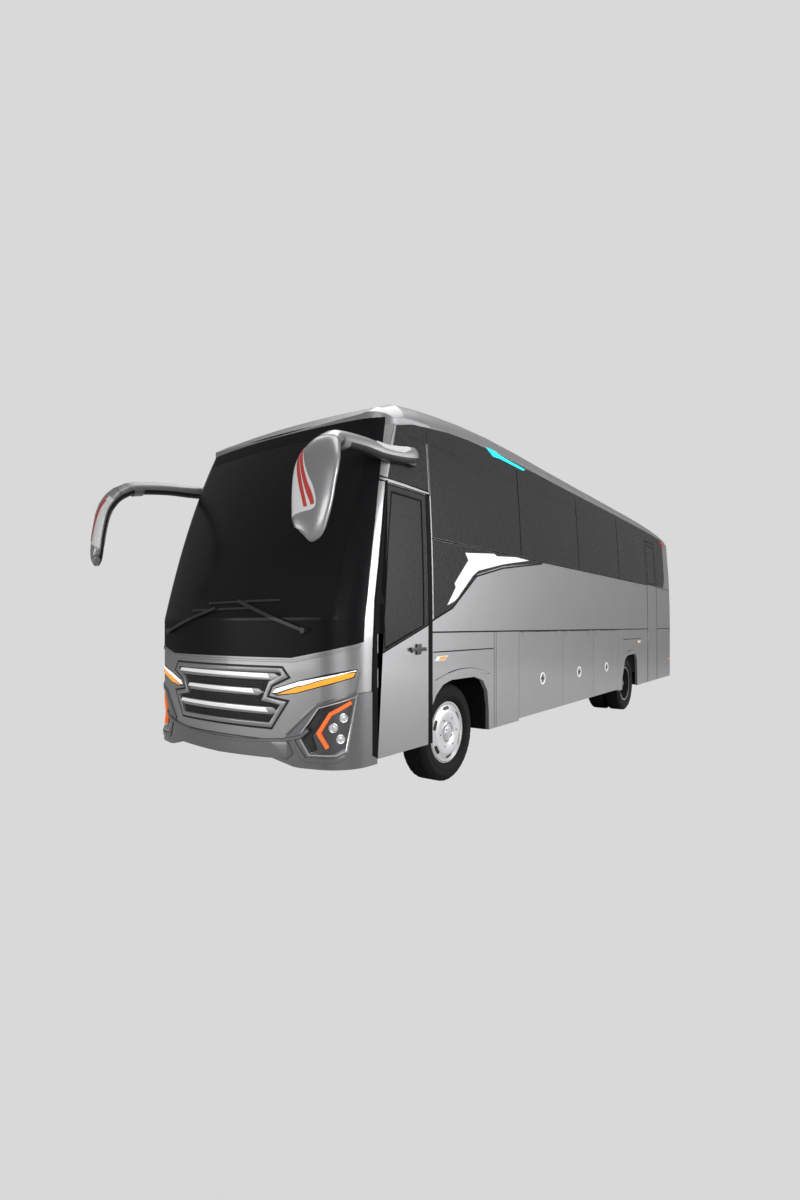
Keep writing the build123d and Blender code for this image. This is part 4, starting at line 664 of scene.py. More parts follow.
def along_bow(x, height):
    """Length along the bow of a point that lies at a distance from the middle plane."""
    bow_radius, bow_y, corner, centre_x, centre_y, touch = nose_plan(height)
    reach = abs(x)
    if reach <= bow_radius * math.sin(touch):
        return math.copysign(bow_radius * math.asin(reach / bow_radius), x)
    turn = math.asin(min(1.0, (reach - centre_x) / corner))
    return math.copysign(bow_radius * touch + corner * (turn - touch), x)


def nose_skin(along, height, out):
    bow_radius, bow_y, corner, centre_x, centre_y, touch = nose_plan(height)
    reach = abs(along)
    if reach <= bow_radius * touch:
        turn = reach / bow_radius
        x = (bow_radius + out) * math.sin(turn)
        y = bow_y - (bow_radius + out) * math.cos(turn)
    else:
        turn = min(math.pi / 2, touch + (reach - bow_radius * touch) / corner)
        x = centre_x + (corner + out) * math.sin(turn)
        y = centre_y - (corner + out) * math.cos(turn)
    return Vector((math.copysign(x, along), y, height))


def on_nose(points, mirrored=False):
    side = -1 if mirrored else 1
    return [(along_bow(side * x, z), z) for x, z in points]


def both_ways(points):
    """Outline of a shape that crosses the nose, from its right half."""
    return points + [(-x, z) for x, z in reversed(points)]


nose_step = (0.05, 0.12)


def press_nose(bm, points, low, high, mirrored=False, **more):
    press(bm, on_nose(points, mirrored), nose_skin, low, high, nose_step, **more)


def trim_nose(bm, points, half, low, high, mirrored=False, **more):
    trim_line(bm, on_nose(points, mirrored), half, nose_skin, low, high, longest=0.05, **more)


# Windscreen surround. Black bonded rubber all round the glass, a printed border inside it and the
# blended cowl line under it.
screen_right = [(0.776, 1.252), (1.101, 1.319), (1.246, 1.378), (1.2475, 1.55), (1.246, 1.709), (1.237, 2.038),
                (1.222, 2.362), (1.19, 2.792), (1.145, 3.2), (1.13, 3.297)]
clear_right = [(0.78, 1.548), (1.06, 1.549), (1.14, 1.55), (1.145, 1.6), (1.145, 1.709), (1.138, 2.038),
               (1.128, 2.362), (1.105, 2.792), (1.075, 3.1), (1.06, 3.15)]
border = make_finish("border", (0.009, 0.009, 0.01), 0.35, mottle=0.02, specular=0.05)
surround_piece = bmesh.new()
press_nose(surround_piece, both_ways(screen_right), -0.006, 0.002, inner=on_nose(both_ways(clear_right)))
trim_nose(surround_piece, [(-1.22, 1.54), (0.0, 1.54), (1.22, 1.54)], 0.006, -0.001, 0.003)
make_piece("windscreen_surround", surround_piece, [border], "coach")

cowl = bmesh.new()
cowl_right = [(0.0, 1.226), (0.79, 1.228), (1.1, 1.292), (1.24, 1.352)]
trim_nose(cowl, [(-x, z) for x, z in reversed(cowl_right)][:3] + cowl_right, 0.01, -0.004, 0.009)
for side in (-1, 1):
    crease = [(side * 1.24, 1.15), (side * 1.228, 0.98), (side * 1.19, 0.53)]
    trim_nose(cowl, crease, 0.008, -0.004, 0.01)
make_piece("cowl_line", cowl, [body_paint], "coach", crease=25)


# Grille. Moulded frame round a honeycomb screen, with three pointed bars across it, clipped into the
# nose between the head lamps. Each bar is grey with a glowing silver top face, a painted highlight
# where light falls on its top.
def make_honeycomb_group():
    """Geometry group that sets one wire cell on each point it is given."""
    group, given, out = make_group(
        "honeycomb", "GeometryNodeTree",
        [("Geometry", "Geometry"), ("Cell Radius", "Float", 0.012), ("Wire Radius", "Float", 0.0016),
         ("Material", "Material")], [("Geometry", "Geometry")])
    cell = add_node(group, "GeometryNodeCurvePrimitiveCircle", {"Resolution": 6})
    wire = add_node(group, "GeometryNodeCurvePrimitiveCircle", {"Resolution": 4})
    sweep = add_node(group, "GeometryNodeCurveToMesh")
    spread = add_node(group, "GeometryNodeInstanceOnPoints", {"Rotation": (math.pi / 2, math.pi / 6, 0)})
    real = add_node(group, "GeometryNodeRealizeInstances")
    paint = add_node(group, "GeometryNodeSetMaterial")
    join(group, (given, "Cell Radius", cell, "Radius"), (given, "Wire Radius", wire, "Radius"),
         (cell, "Curve", sweep, "Curve"), (wire, "Curve", sweep, "Profile Curve"),
         (given, "Geometry", spread, "Points"), (sweep, "Mesh", spread, "Instance"),
         (spread, "Instances", real, "Geometry"), (real, "Geometry", paint, "Geometry"),
         (given, "Material", paint, "Material"), (paint, "Geometry", out, "Geometry"))
    return group


def run_group(group, name, points, values):
    """Mesh that a geometry group makes from a cloud of points."""
    cloud = bpy.data.meshes.new(name + "_points")
    cloud.from_pydata(points, [], [])
    holder = bpy.data.objects.new(name + "_points", cloud)
    bpy.context.collection.objects.link(holder)
    modifier = holder.modifiers.new("group", "NODES")
    modifier.node_group = group
    for item in group.interface.items_tree:
        if item.in_out == "INPUT" and item.name in values:
            modifier[item.identifier] = values[item.name]
    holder.update_tag()
    bpy.context.view_layer.update()
    graph = bpy.context.evaluated_depsgraph_get()
    mesh = bpy.data.meshes.new_from_object(holder.evaluated_get(graph))
    bpy.data.objects.remove(holder)
    return mesh


def inside(outline, u, v):
    hit = False
    for a, b in zip(outline, outline[1:] + outline[:1]):
        if (a[1] > v) != (b[1] > v) and u < a[0] + (v - a[1]) / (b[1] - a[1]) * (b[0] - a[0]):
            hit = not hit
    return hit


frame_grey = make_finish("frame_grey", (0.27, 0.27, 0.275), 0.32, metallic=0.45, coat=0.4, mottle=0.04)
screen_black = make_finish("screen_black", (0.01, 0.01, 0.01), 0.5)
screen_wire = make_finish("screen_wire", (0.05, 0.05, 0.052), 0.35, metallic=0.6)
frame_right = [(0.592, 0.681), (0.755, 0.915), (0.56, 0.942), (0.6, 1.022), (0.765, 1.095), (0.694, 1.182)]
mesh_right = [(0.574, 0.706), (0.705, 0.895), (0.612, 0.903), (0.535, 0.925), (0.519, 0.946), (0.575, 1.044),
              (0.727, 1.104), (0.683, 1.156)]
grille = bmesh.new()
frame_line = both_ways(frame_right)
mesh_line = both_ways(mesh_right)
press_nose(grille, frame_line, -0.036, -0.026, finish=1)
outer, band = strip(on_nose(frame_line), 0.01, closed=True)
band = band if abs(area_of(band)) < abs(area_of(outer)) else outer
outer, inner = strip(band, 0.02, closed=True)
middle = inner if abs(area_of(inner)) < abs(area_of(outer)) else outer
outer, inner = strip(middle, 0.019, closed=True)
press(grille, outer, nose_skin, -0.034, 0.005, nose_step, bevel=0.006, finish=0, inner=inner)
trim_nose(grille, frame_line, 0.0045, -0.004, 0.004, closed=True, finish=1)
cell_pitch = 0.0205
row_share = 0.866
cells = []
for row in range(int(0.5 / (cell_pitch * row_share))):
    height = 0.695 + row * cell_pitch * row_share
    for column in range(-40, 41):
        x = (column + 0.5 * (row % 2)) * cell_pitch
        if inside(mesh_line, x, height):
            cells.append(nose_skin(along_bow(x, height), height, -0.02))
values = {"Cell Radius": cell_pitch * 0.55, "Wire Radius": 0.002, "Material": screen_wire}
honeycomb = run_group(make_honeycomb_group(), "honeycomb", cells, values)
start = len(grille.faces)
grille.from_mesh(honeycomb)
grille.faces.ensure_lookup_table()
for face in grille.faces[start:]:
    face.material_index = 2
tip, half_bar = 0.06, 0.03
for height, half in ((1.099, 0.672), (0.97, 0.512), (0.825, 0.652)):
    bar = [(-half, height), (-half + tip, height - half_bar), (half - tip, height - half_bar), (half, height),
           (half - tip, height + half_bar), (-half + tip, height + half_bar)]
    press_nose(grille, bar, -0.03, -0.002, bevel=0.006, finish=0)
    # Top face of each bar in glowing silver over the grey bar: a painted highlight where light falls on it.
    face = [(-half + 0.02, height - 0.002), (half - 0.1, height - 0.012), (half - tip - 0.06, height + 0.026),
            (-half + tip - 0.01, height + 0.026)]
    press_nose(grille, face, -0.006, 0.006, bevel=0.004, finish=3)
make_piece("grille_assembly", grille, [frame_grey, screen_black, screen_wire, silver_painted_glow], "coach",
           ["grille"])

# Head lamps. Slim units moulded in a black housing, with a clear upper light guide over an amber
# indicator; they are screwed in from behind, each side of the grille.
lamp_glow = make_finish("lamp_glow", (0.88, 0.88, 0.87), 0.25, glow=0.62, mottle=0.0, specular=0.2)
amber_glow = make_finish("amber_glow", (0.9, 0.35, 0.035), 0.3, glow=0.62, mottle=0.02, specular=0.2)
orange_glow = make_finish("orange_glow", (0.86, 0.16, 0.035), 0.3, glow=0.5, mottle=0.02, specular=0.2)
lamps = bmesh.new()
housing = [(0.59, 0.965), (0.64, 0.948), (0.815, 0.972), (1.222, 1.104), (1.232, 1.168), (0.84, 1.076),
           (0.622, 1.01)]
upper = [(0.6, 0.971), (0.64, 0.972), (0.832, 1.036), (0.872, 1.038), (1.14, 1.126), (1.155, 1.139),
         (1.227, 1.151), (1.226, 1.161), (0.842, 1.068), (0.628, 1.003)]
lower = [(0.64, 0.958), (0.815, 0.98), (1.216, 1.11), (1.224, 1.142), (1.158, 1.131), (1.142, 1.118),
         (0.874, 1.03), (0.836, 1.028)]
for mirrored in (False, True):
    press_nose(lamps, housing, -0.028, 0.002, mirrored, bevel=0.002, finish=0)
    press_nose(lamps, upper, -0.002, 0.008, mirrored, bevel=0.002, finish=1)
    press_nose(lamps, lower, -0.002, 0.007, mirrored, bevel=0.002, finish=2)
make_piece("head_lamp_units", lamps, [black_plastic, lamp_glow, amber_glow], "coach",
           ["head_lamps"])

# Fog lamp pods. Chrome line round a recessed tray in each corner of the bumper, with an amber light
# guide along its slanted edge and three round lamps in bright bezels.
pod_grey = make_finish("pod_grey", (0.1, 0.1, 0.105), 0.3, metallic=0.5, coat=0.3, mottle=0.04)
pods = bmesh.new()
opening = [(1.226, 0.956), (1.01, 0.87), (0.846, 0.64), (0.932, 0.502), (1.138, 0.508), (1.187, 0.542)]
guide_line = [(1.21, 0.912), (1.096, 0.824), (1.004, 0.672), (1.076, 0.56)]
visor = [(1.206, 0.95), (1.012, 0.866), (0.852, 0.64), (0.93, 0.514), (0.985, 0.545), (0.935, 0.65),
         (1.052, 0.812), (1.2, 0.88)]
for mirrored in (False, True):
    press_nose(pods, opening, -0.045, -0.024, mirrored, finish=0)
    trim_nose(pods, opening, 0.006, -0.03, 0.01, mirrored, closed=True, finish=1)
    trim_nose(pods, guide_line, 0.015, -0.026, 0.003, mirrored, finish=2)
    press_nose(pods, visor, -0.026, -0.01, mirrored, bevel=0.006, finish=4)
    for x, z, radius in ((1.176, 0.793, 0.036), (1.116, 0.717, 0.038), (1.16, 0.631, 0.036)):
        along = along_bow(-x if mirrored else x, z)
        press(pods, disc_outline(along, z, radius, 24), nose_skin, -0.026, -0.004, bevel=0.003, finish=1,
              inner=disc_outline(along, z, radius - 0.008, 24))
        press(pods, disc_outline(along, z, radius - 0.009, 24), nose_skin, -0.026, -0.01, bevel=0.006, finish=3)
        press(pods, disc_outline(along, z, radius * 0.35, 16), nose_skin, -0.012, -0.006, bevel=0.002, finish=1)
make_piece("fog_lamp_pods", pods, [pod_grey, chrome, orange_glow, clear_lens, black_plastic], "coach",
           ["fog_lamps"])

# Bumper. A moulded cover with a raised chin plate, a cheek and a shoulder each side and a ridge
# along the top of the chin, bolted to the frame brackets.
chin = bmesh.new()
chin_plate = both_ways([(0.6, 0.462), (0.74, 0.452), (0.8, 0.5), (0.745, 0.606), (0.59, 0.572),
                        (0.3, 0.566)])
cheek = [(0.79, 0.606), (0.86, 0.46), (0.93, 0.44), (1.15, 0.448), (1.19, 0.48), (1.18, 0.516),
         (1.13, 0.482), (0.9, 0.476), (0.806, 0.62)]
shoulder = [(0.745, 0.64), (0.985, 0.88), (1.228, 0.975), (1.228, 0.99), (0.975, 0.9), (0.725, 0.655)]
press_nose(chin, chin_plate, 0.0, 0.018, bevel=0.01)
for mirrored in (False, True):
    press_nose(chin, cheek, 0.0, 0.016, mirrored, bevel=0.006)
    press_nose(chin, shoulder, 0.0, 0.012, mirrored, bevel=0.004)
ridge = [(-0.93, 0.7), (-0.86, 0.64), (-0.72, 0.606), (-0.4, 0.576), (0.0, 0.566), (0.4, 0.576),
         (0.72, 0.606), (0.86, 0.64), (0.93, 0.7)]
trim_nose(chin, ridge, 0.016, -0.002, 0.022)
make_piece("bumper_forms", chin, [bumper_paint], "coach", crease=25)


# Mirrors. Horn housings that hang from arms over the doors: painted front shells with a white patch and
# two red stripes, black backs with the mirror glass, a painted bracket and a light root plate.
horn_stations = [
    (-0.045, -0.022, 2.112, 0.052, 0.024, 20), (-0.034, -0.018, 2.126, 0.092, 0.042, 20),
    (-0.018, -0.012, 2.17, 0.116, 0.05, 20), (-0.01, -0.004, 2.24, 0.131, 0.053, 20),
    (-0.005, 0.012, 2.36, 0.148, 0.055, 20), (-0.007, 0.032, 2.48, 0.156, 0.058, 20),
    (-0.008, 0.058, 2.58, 0.158, 0.062, 20), (-0.014, 0.099, 2.67, 0.146, 0.066, 18),
    (-0.028, 0.155, 2.748, 0.118, 0.066, 14), (-0.048, 0.23, 2.806, 0.09, 0.063, 9),
    (-0.068, 0.329, 2.85, 0.072, 0.06, 5), (-0.112, 0.653, 2.898, 0.06, 0.06, 2),
    (-0.138, 0.95, 2.915, 0.058, 0.061, 0), (-0.155, 1.2, 2.95, 0.058, 0.068, 0),
    (-0.166, 1.4, 2.99, 0.056, 0.074, 0), (-0.17, 1.47, 3.003, 0.036, 0.05, 0)]
horn_centre = Vector((1.4, -5.8, 0.0))
horn_end = len(horn_stations) - 1
horn_squareness = 0.84
head_top = 9.0


def horn_frame(along):
    """Middle, wide and thin directions and half sizes of the horn at a place along it."""
    i = min(horn_end - 1, max(0, int(along)))
    t = min(1.0, max(0.0, along - i))
    four = [horn_stations[min(horn_end, max(0, i + k))] for k in (-1, 0, 1, 2)]
    value = []
    for a, b, c, d in zip(*four):
        value.append(0.5 * (2 * b + (c - a) * t + (2 * a - 5 * b + 4 * c - d) * t * t
                            + (3 * b - a - 3 * c + d) * t ** 3))
    return Vector(value[:3]), value[3], value[4], math.radians(value[5])


def horn_place(side):
    def place(turn, along, out):
        middle, wide, thin, swing = horn_frame(along)
        step = 0.02
        heading = (horn_frame(min(along + step, horn_end))[0] - horn_frame(max(along - step, 0))[0]).normalized()
        across = Vector((math.cos(swing), math.sin(swing), 0))
        across = (across - heading * across.dot(heading)).normalized()
        back = heading.cross(across)
        sine, cosine = math.sin(turn), math.cos(turn)
        u = math.copysign(abs(sine) ** horn_squareness, sine) * (wide + out)
        v = math.copysign(abs(cosine) ** horn_squareness, cosine) * (thin + out)
        point = horn_centre + middle + across * u - back * v
        return Vector((side * point.x, point.y, point.z))
    return place


def horn_height(height):
    """Place along the horn's head that lies at a height."""
    low, high = 0.0, head_top
    for _ in range(24):
        half = (low + high) / 2
        low, high = (half, high) if horn_frame(half)[0].z < height else (low, half)
    return low


def on_horn(points):
    return [(math.radians(u), horn_height(v)) for u, v in points]


mirror_glass = make_finish("mirror_glass", (0.75, 0.77, 0.78), 0.07, metallic=1.0, mottle=0.0, bump=0.001)
stripe_red = make_finish("stripe_red", (0.47, 0.045, 0.035), 0.35, coat=0.3)
patch_white = make_finish("patch_white", (0.66, 0.66, 0.66), 0.35, coat=0.3, mottle=0.02)
patch = [(-96, 2.69), (-52, 2.7), (-30, 2.62), (-8, 2.511), (6, 2.42), (15, 2.35), (18, 2.306),
         (15, 2.284), (6, 2.268), (-30, 2.24), (-96, 2.205)]
stripes = ([(-64, 2.65), (-52, 2.655), (-23.5, 2.486), (-1, 2.29), (-9, 2.284), (-31, 2.486)],
           [(-58, 2.694), (-46, 2.692), (-12, 2.498), (14, 2.308), (5, 2.3), (-20, 2.498)])
root_plate = [(math.radians(u), v) for u, v in ((30, 11.55), (55, 11.45), (80, 11.75), (84, 13.0), (60, 13.6),
                                                (26, 13.4))]
turn_step = (math.radians(9), 0.2)
levels = [k * 0.2 for k in range(76)]
turns = 40
for side, word in ((1, "left"), (-1, "right")):
    place = horn_place(side)
    bm = bmesh.new()
    shell = bmesh.new()
    rings = [[shell.verts.new(place(2 * math.pi * i / turns, level, 0.0)) for i in range(turns)] for level in levels]
    for low_ring, high_ring in zip(rings, rings[1:]):
        for i in range(turns):
            j = (i + 1) % turns
            face = shell.faces.new((low_ring[i], low_ring[j], high_ring[j], high_ring[i]))
            face.material_index = 1 if 12 <= i < 28 else 0
    shell.faces.new(rings[0]).material_index = 0
    shell.faces.new(rings[-1]).material_index = 1
    add_mesh(bm, shell, None)
    press(bm, on_horn(patch), place, -0.004, 0.002, turn_step, finish=2)
    for stripe in stripes:
        press(bm, on_horn(stripe), place, 0.0, 0.0035, turn_step, finish=3)
    trim_line(bm, on_horn([(u, 2.205) for u in (-96, -48, 0, 48, 100)]), 0.003, place, -0.002, 0.0012, finish=1)
    for level in (8.3, 8.45):
        trim_line(bm, [(math.radians(u), level) for u in (-100, -50, 0, 50, 100)], 0.012, place, -0.002, 0.0012,
                  finish=1)
    rear_view = oblong(math.radians(130), horn_height(2.26), math.radians(230), horn_height(2.6))
    press(bm, rear_view, place, 0.0, 0.004, turn_step, finish=4)
    press(bm, root_plate, place, -0.003, 0.006, turn_step, bevel=0.002, finish=2)
    bracket = oblong(math.radians(88), 9.85, math.radians(272), 10.25)
    press(bm, bracket, place, -0.003, 0.014, turn_step, bevel=0.004, finish=0)
    inner_foot, outer_foot = sorted((side * 1.205, side * 1.262))
    slab(bm, (inner_foot, -4.52, 2.9), (outer_foot, -4.35, 3.05), 0.01, finish=1)
    make_piece("mirror_" + word, bm, [body_paint, black_plastic, patch_white, stripe_red, mirror_glass], "coach",
               ["mirrors"])


# Wheels. Silver steel discs with their nuts, a chrome hub ring and cap; the twins at the back are
# deep dished behind a bright rim ring. Each rides on its own wheel body.
def around(centre, along, radius, turn):
    """Place on a wheel, by its way out along the axle, its radius and its turn."""
    return centre[0] + along, centre[1] + radius * math.cos(turn), centre[2] + radius * math.sin(turn)


def lathe(bm, profile, centre, steps, finish=0, side=1):
    """Add a shape turned about a line along X, from (along, radius) points; poles close it."""
    flat = bmesh.new()
    rings = [[flat.verts.new(around(centre, side * along, radius, 2 * math.pi * i / steps))
              for i in range(steps if radius > 1e-6 else 1)] for along, radius in profile]
    pairs = list(zip(rings, rings[1:]))
    if profile[0][1] > 1e-6:
        pairs.append((rings[-1], rings[0]))
    for a, b in pairs:
        for i in range(steps):
            corners = [a[i % len(a)], a[(i + 1) % len(a)], b[(i + 1) % len(b)], b[i % len(b)]]
            corners = list(dict.fromkeys(corners))
            if len(corners) > 2:
                flat.faces.new(corners)
    add_mesh(bm, flat, finish)


def nut_ring(bm, centre, face, circle, count, radius, height, side, finish):
    for i in range(count):
        spot = around(centre, side * face, circle, 2 * math.pi * (i + 0.5) / count)
        lathe(bm, [(-0.004, 0), (-0.004, radius * 1.5), (0.002, radius * 1.5), (0.003, radius)], spot, 12, finish,
              side)
        lathe(bm, [(0.002, 0), (0.002, radius), (height - 0.003, radius), (height, radius * 0.8), (height, 0)], spot,
              6, finish, side)


def make_tyre(name, body, centres, node):
    """Radial tyre with five ribs, wavy grooves, shoulder lugs and raised sidewall rings."""
    half, crown, bead, steps = 0.135, 0.4695, 0.2868, 180
    right = [(0.082, bead, 0), (0.096, 0.296, 0), (0.104, 0.306, 0), (0.108, 0.304, 0), (0.123, 0.321, 0),
             (0.131, 0.345, 0), (0.1345, 0.352, 0), (0.1345, 0.358, 0), (0.132, 0.362, 0), (half, 0.385, 0),
             (0.1335, 0.405, 0), (0.1348, 0.409, 0), (0.133, 0.414, 0), (0.129, 0.43, 1), (0.116, 0.45, 1),
             (0.108, 0.46, 1), (0.098, crown - 0.001, 1), (0.066, crown, 1), (0.064, crown - 0.012, 0),
             (0.056, crown - 0.012, 0), (0.054, crown, 0), (0.024, crown, 0), (0.022, crown - 0.012, 0),
             (0.014, crown - 0.012, 0), (0.012, crown, 0)]
    chain = right + [(-a, r, k) for a, r, k in reversed(right)]
    bm = bmesh.new()
    for centre in centres:
        flat = bmesh.new()
        rings = []
        for along, radius, lug in chain:
            ring = []
            for i in range(steps):
                turn = 2 * math.pi * i / steps
                deep = 0.007 if lug and i % 5 == 0 else 0.0
                sway = 0.003 * math.sin(turn * 36) if abs(along) < 0.07 else 0.0
                ring.append(flat.verts.new((centre[0] + along + sway, centre[1] + (radius - deep) * math.cos(turn),
                                            centre[2] + (radius - deep) * math.sin(turn))))
            rings.append(ring)
        for a, b in zip(rings, rings[1:] + rings[:1]):
            for i in range(steps):
                j = (i + 1) % steps
                flat.faces.new((a[i], a[j], b[j], b[i]))
        add_mesh(bm, flat)
    make_piece(name, bm, [tyre_rubber], body, [node], crease=28)


wheel_silver = make_finish("wheel_silver", (0.6, 0.6, 0.61), 0.3, metallic=0.75, dust=0.1)
cover_silver = make_finish("cover_silver", (0.62, 0.62, 0.63), 0.34, metallic=0.35, coat=0.2, mottle=0.03)
wheel_dark = make_finish("wheel_dark", (0.03, 0.03, 0.031), 0.45, metallic=0.5, dust=0.02)
tyre_rubber = make_finish("tyre_rubber", (0.0045, 0.0045, 0.0045), 0.7, bump=0.12, dust=0.015, specular=0.15)
wheel_height = 0.47
for side, word in ((1, "left"), (-1, "right")):
    dress(wheel_silver, "front_rim_" + word)
    dress(wheel_dark, "rear_rims_" + word)
    centre = (side * 1.065, -3.7, wheel_height)
    bm = bmesh.new()
    cover = [(0.098, 0.2855), (0.11, 0.2855), (0.115, 0.279), (0.11, 0.27), (0.102, 0.265), (0.103, 0.258),
             (0.119, 0.222), (0.124, 0.208), (0.125, 0.19), (0.122, 0.12), (0.116, 0.1), (0.112, 0.092),
             (0.104, 0.092), (0.094, 0.2855)]
    lathe(bm, cover, centre, 96, 0, side)
    lathe(bm, [(0.108, 0.094), (0.122, 0.094), (0.127, 0.088), (0.124, 0.08), (0.108, 0.08)], centre, 48, 1, side)
    lathe(bm, [(0.108, 0), (0.108, 0.08), (0.118, 0.076), (0.12, 0.058), (0.131, 0.052), (0.133, 0.03), (0.13, 0)],
          centre, 48, 1, side)

    def cover_cone(turn, radius, out):
        rise = 0.103 + (0.258 - radius) * 0.444
        return Vector(around(centre, side * (rise + out), radius, turn))

    for i in range(6):
        turn = math.radians(97 + 60 * i)
        half_turn = math.radians(12)
        slot = [(turn - half_turn * 0.8, 0.224), (turn + half_turn * 0.8, 0.224), (turn + half_turn, 0.233),
                (turn + half_turn, 0.247), (turn + half_turn * 0.8, 0.255), (turn - half_turn * 0.8, 0.255),
                (turn - half_turn, 0.247), (turn - half_turn, 0.233)]
        press(bm, slot, cover_cone, -0.004, 0.0012, (math.radians(6), None), finish=2)
        spot = around(centre, side * 0.1225, 0.145, math.radians(60 * i + 3))
        lathe(bm, [(0, 0), (0, 0.0085), (0.004, 0.0085), (0.005, 0.006), (0.005, 0)], spot, 6, 2, side)
    make_piece("front_wheel_trim_" + word, bm, [cover_silver, chrome, black_plastic], "front_wheel_" + word)
    make_tyre("front_tread_" + word, "front_wheel_" + word, [centre], "front_tyre_" + word)

    outer = (side * 1.058, 2.406, wheel_height)
    middle = (side * 0.908, 2.406, wheel_height)
    bm = bmesh.new()
    nut_ring(bm, middle, 0.009, 0.14, 10, 0.013, 0.03, side, 0)
    lathe(bm, [(0.098, 0.291), (0.106, 0.298), (0.113, 0.297), (0.113, 0.283), (0.1, 0.283)], outer, 72, 1, side)
    lathe(bm, [(0.16, 0), (0.16, 0.07), (0.168, 0.066), (0.172, 0.04), (0.173, 0)], middle, 48, 0, side)
    lathe(bm, [(0.15, 0.078), (0.15, 0.09), (0.162, 0.088), (0.167, 0.08), (0.164, 0.076)], middle, 48, 1, side)
    for i in range(8):
        spot = around(middle, side * 0.162, 0.055, 2 * math.pi * i / 8)
        lathe(bm, [(0, 0), (0, 0.006), (0.012, 0.006), (0.014, 0)], spot, 6, 2, side)
    make_piece("rear_wheel_trim_" + word, bm, [wheel_dark, chrome, black_plastic], "rear_wheels_" + word)
    twins = [outer, (side * 0.758, 2.406, wheel_height)]
    make_tyre("rear_tread_" + word, "rear_wheels_" + word, twins, "rear_tyres_" + word)


# Tail skin. Bowed in plan, upright to shoulder height and curving forward above; the rear pieces lie
# on it by distance from the middle, height and how far they stand out.
tail_tip = 5.88
tail_bow = 9.0
tail_shoulder = 2.6
fade_length = 0.024


def held_in(out, room):
    """Relief that fades where it would pass the coach's rearmost point."""
    return out * min(1.0, max(0.0, room) / fade_length) if out > 0 else out


def tail_skin(across, height, out):
    tip = tail_tip - 0.33 * max(0.0, height - tail_shoulder) ** 2
    corner = 0.15
    centre_x = left_side(0.0, height, 0.0).x - corner
    centre_y = tip - tail_bow + math.sqrt((tail_bow - corner) ** 2 - centre_x ** 2)
    reach = abs(across)
    touch = tail_bow * centre_x / math.hypot(centre_x, centre_y - tip + tail_bow)
    out = held_in(out, cad_high[1] - (tip - tail_bow + math.sqrt(tail_bow ** 2 - min(reach, touch) ** 2)))
    if reach <= touch:
        return Vector((across, tip - tail_bow + math.sqrt((tail_bow + out) ** 2 - across * across), height))
    turn = math.asin(min(1.0, (reach - centre_x) / corner))
    return Vector((math.copysign(centre_x + (corner + out) * math.sin(turn), across),
                   centre_y + (corner + out) * math.cos(turn), height))


tail_step = (0.1, 0.12)


def press_tail(bm, outline, low, high, **more):
    press(bm, outline, tail_skin, low, high, tail_step, **more)


# Tail lamps and rear trim. Red lens units with an indicator and a reversing lamp in each, a third
# brake lamp, and black seals round the lamps, the lid and the window; all are screwed or bonded on.
tail = bmesh.new()
cells = (([(0.87, 1.06), (1.105, 1.045), (1.125, 1.09), (1.125, 1.21), (0.885, 1.215), (0.852, 1.115)], 2),
         ([(0.888, 1.228), (1.125, 1.223), (1.125, 1.37), (0.918, 1.375)], 1),
         ([(0.922, 1.388), (1.125, 1.383), (1.125, 1.55), (1.08, 1.612), (0.975, 1.58)], 0))
lens_rim = [(0.84, 1.02), (1.12, 1.0), (1.15, 1.06), (1.15, 1.56), (1.09, 1.64), (0.96, 1.6),
            (0.83, 1.12)]
for side in (-1, 1):
    for cell, finish in cells:
        press_tail(tail, [(side * x, z) for x, z in cell], 0.0, 0.01, bevel=0.004, finish=finish)
    outer, inner = strip([(side * x, z) for x, z in lens_rim], 0.006, closed=True)
    press_tail(tail, outer, -0.004, 0.006, finish=3, inner=inner)
press_tail(tail, [(-0.3, 3.115), (0.3, 3.115), (0.29, 3.15), (-0.29, 3.15)], 0.0, 0.01, bevel=0.003,
           finish=0)
window_rim = [(-0.93, 2.12), (0.93, 2.12), (1.01, 2.22), (0.98, 3.02), (0.88, 3.09), (-0.88, 3.09),
              (-0.98, 3.02), (-1.01, 2.22)]
outer, inner = strip(window_rim, 0.01, closed=True)
press_tail(tail, outer, -0.004, 0.003, finish=3, inner=inner)
for seam in (0.56, 1.7):
    trim_line(tail, [(-1.16, seam), (1.16, seam)], 0.004, tail_skin, -0.004, 0.0015, finish=3)
make_piece("tail_details", tail, [red_lens, amber, clear_lens, seal_rubber], "coach")

# Engine lid trim. A blank plate on its holder, a grip under it and nine pressed louvres in body
# colour; they are fixed to the lid and lift with it.
lid = bmesh.new()
press_tail(lid, oblong(-0.27, 1.1, 0.27, 1.25), 0.002, 0.01, bevel=0.003, finish=1)
press_tail(lid, oblong(-0.26, 1.11, 0.26, 1.24), 0.008, 0.012, bevel=0.002, finish=0)
press_tail(lid, [(-0.09, 0.665), (0.09, 0.665), (0.08, 0.705), (-0.08, 0.705)], -0.002, 0.016, bevel=0.006,
           finish=1)
for i in range(9):
    low = 0.74 + i * 0.045 + 0.018
    press_tail(lid, oblong(-0.425, low - 0.001, 0.425, low + 0.012), -0.012, 0.008, bevel=0.003, finish=2)
plate_white = make_finish("plate_white", (0.75, 0.75, 0.74), 0.4)
make_piece("engine_lid_details", lid, [plate_white, black_plastic, body_paint], "engine_lid")

# Roof unit. Low moulded cover of the cooling plant, bolted to the roof, with two guarded fans on
# top. It is the solid's own form, pressed down by the height of the guards so that they end level.
roof_low, roof_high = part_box("roof_unit")
guard_height = 0.012


def unit_top(along, across, out):
    return Vector((across, along, roof_high.z - guard_height + out))


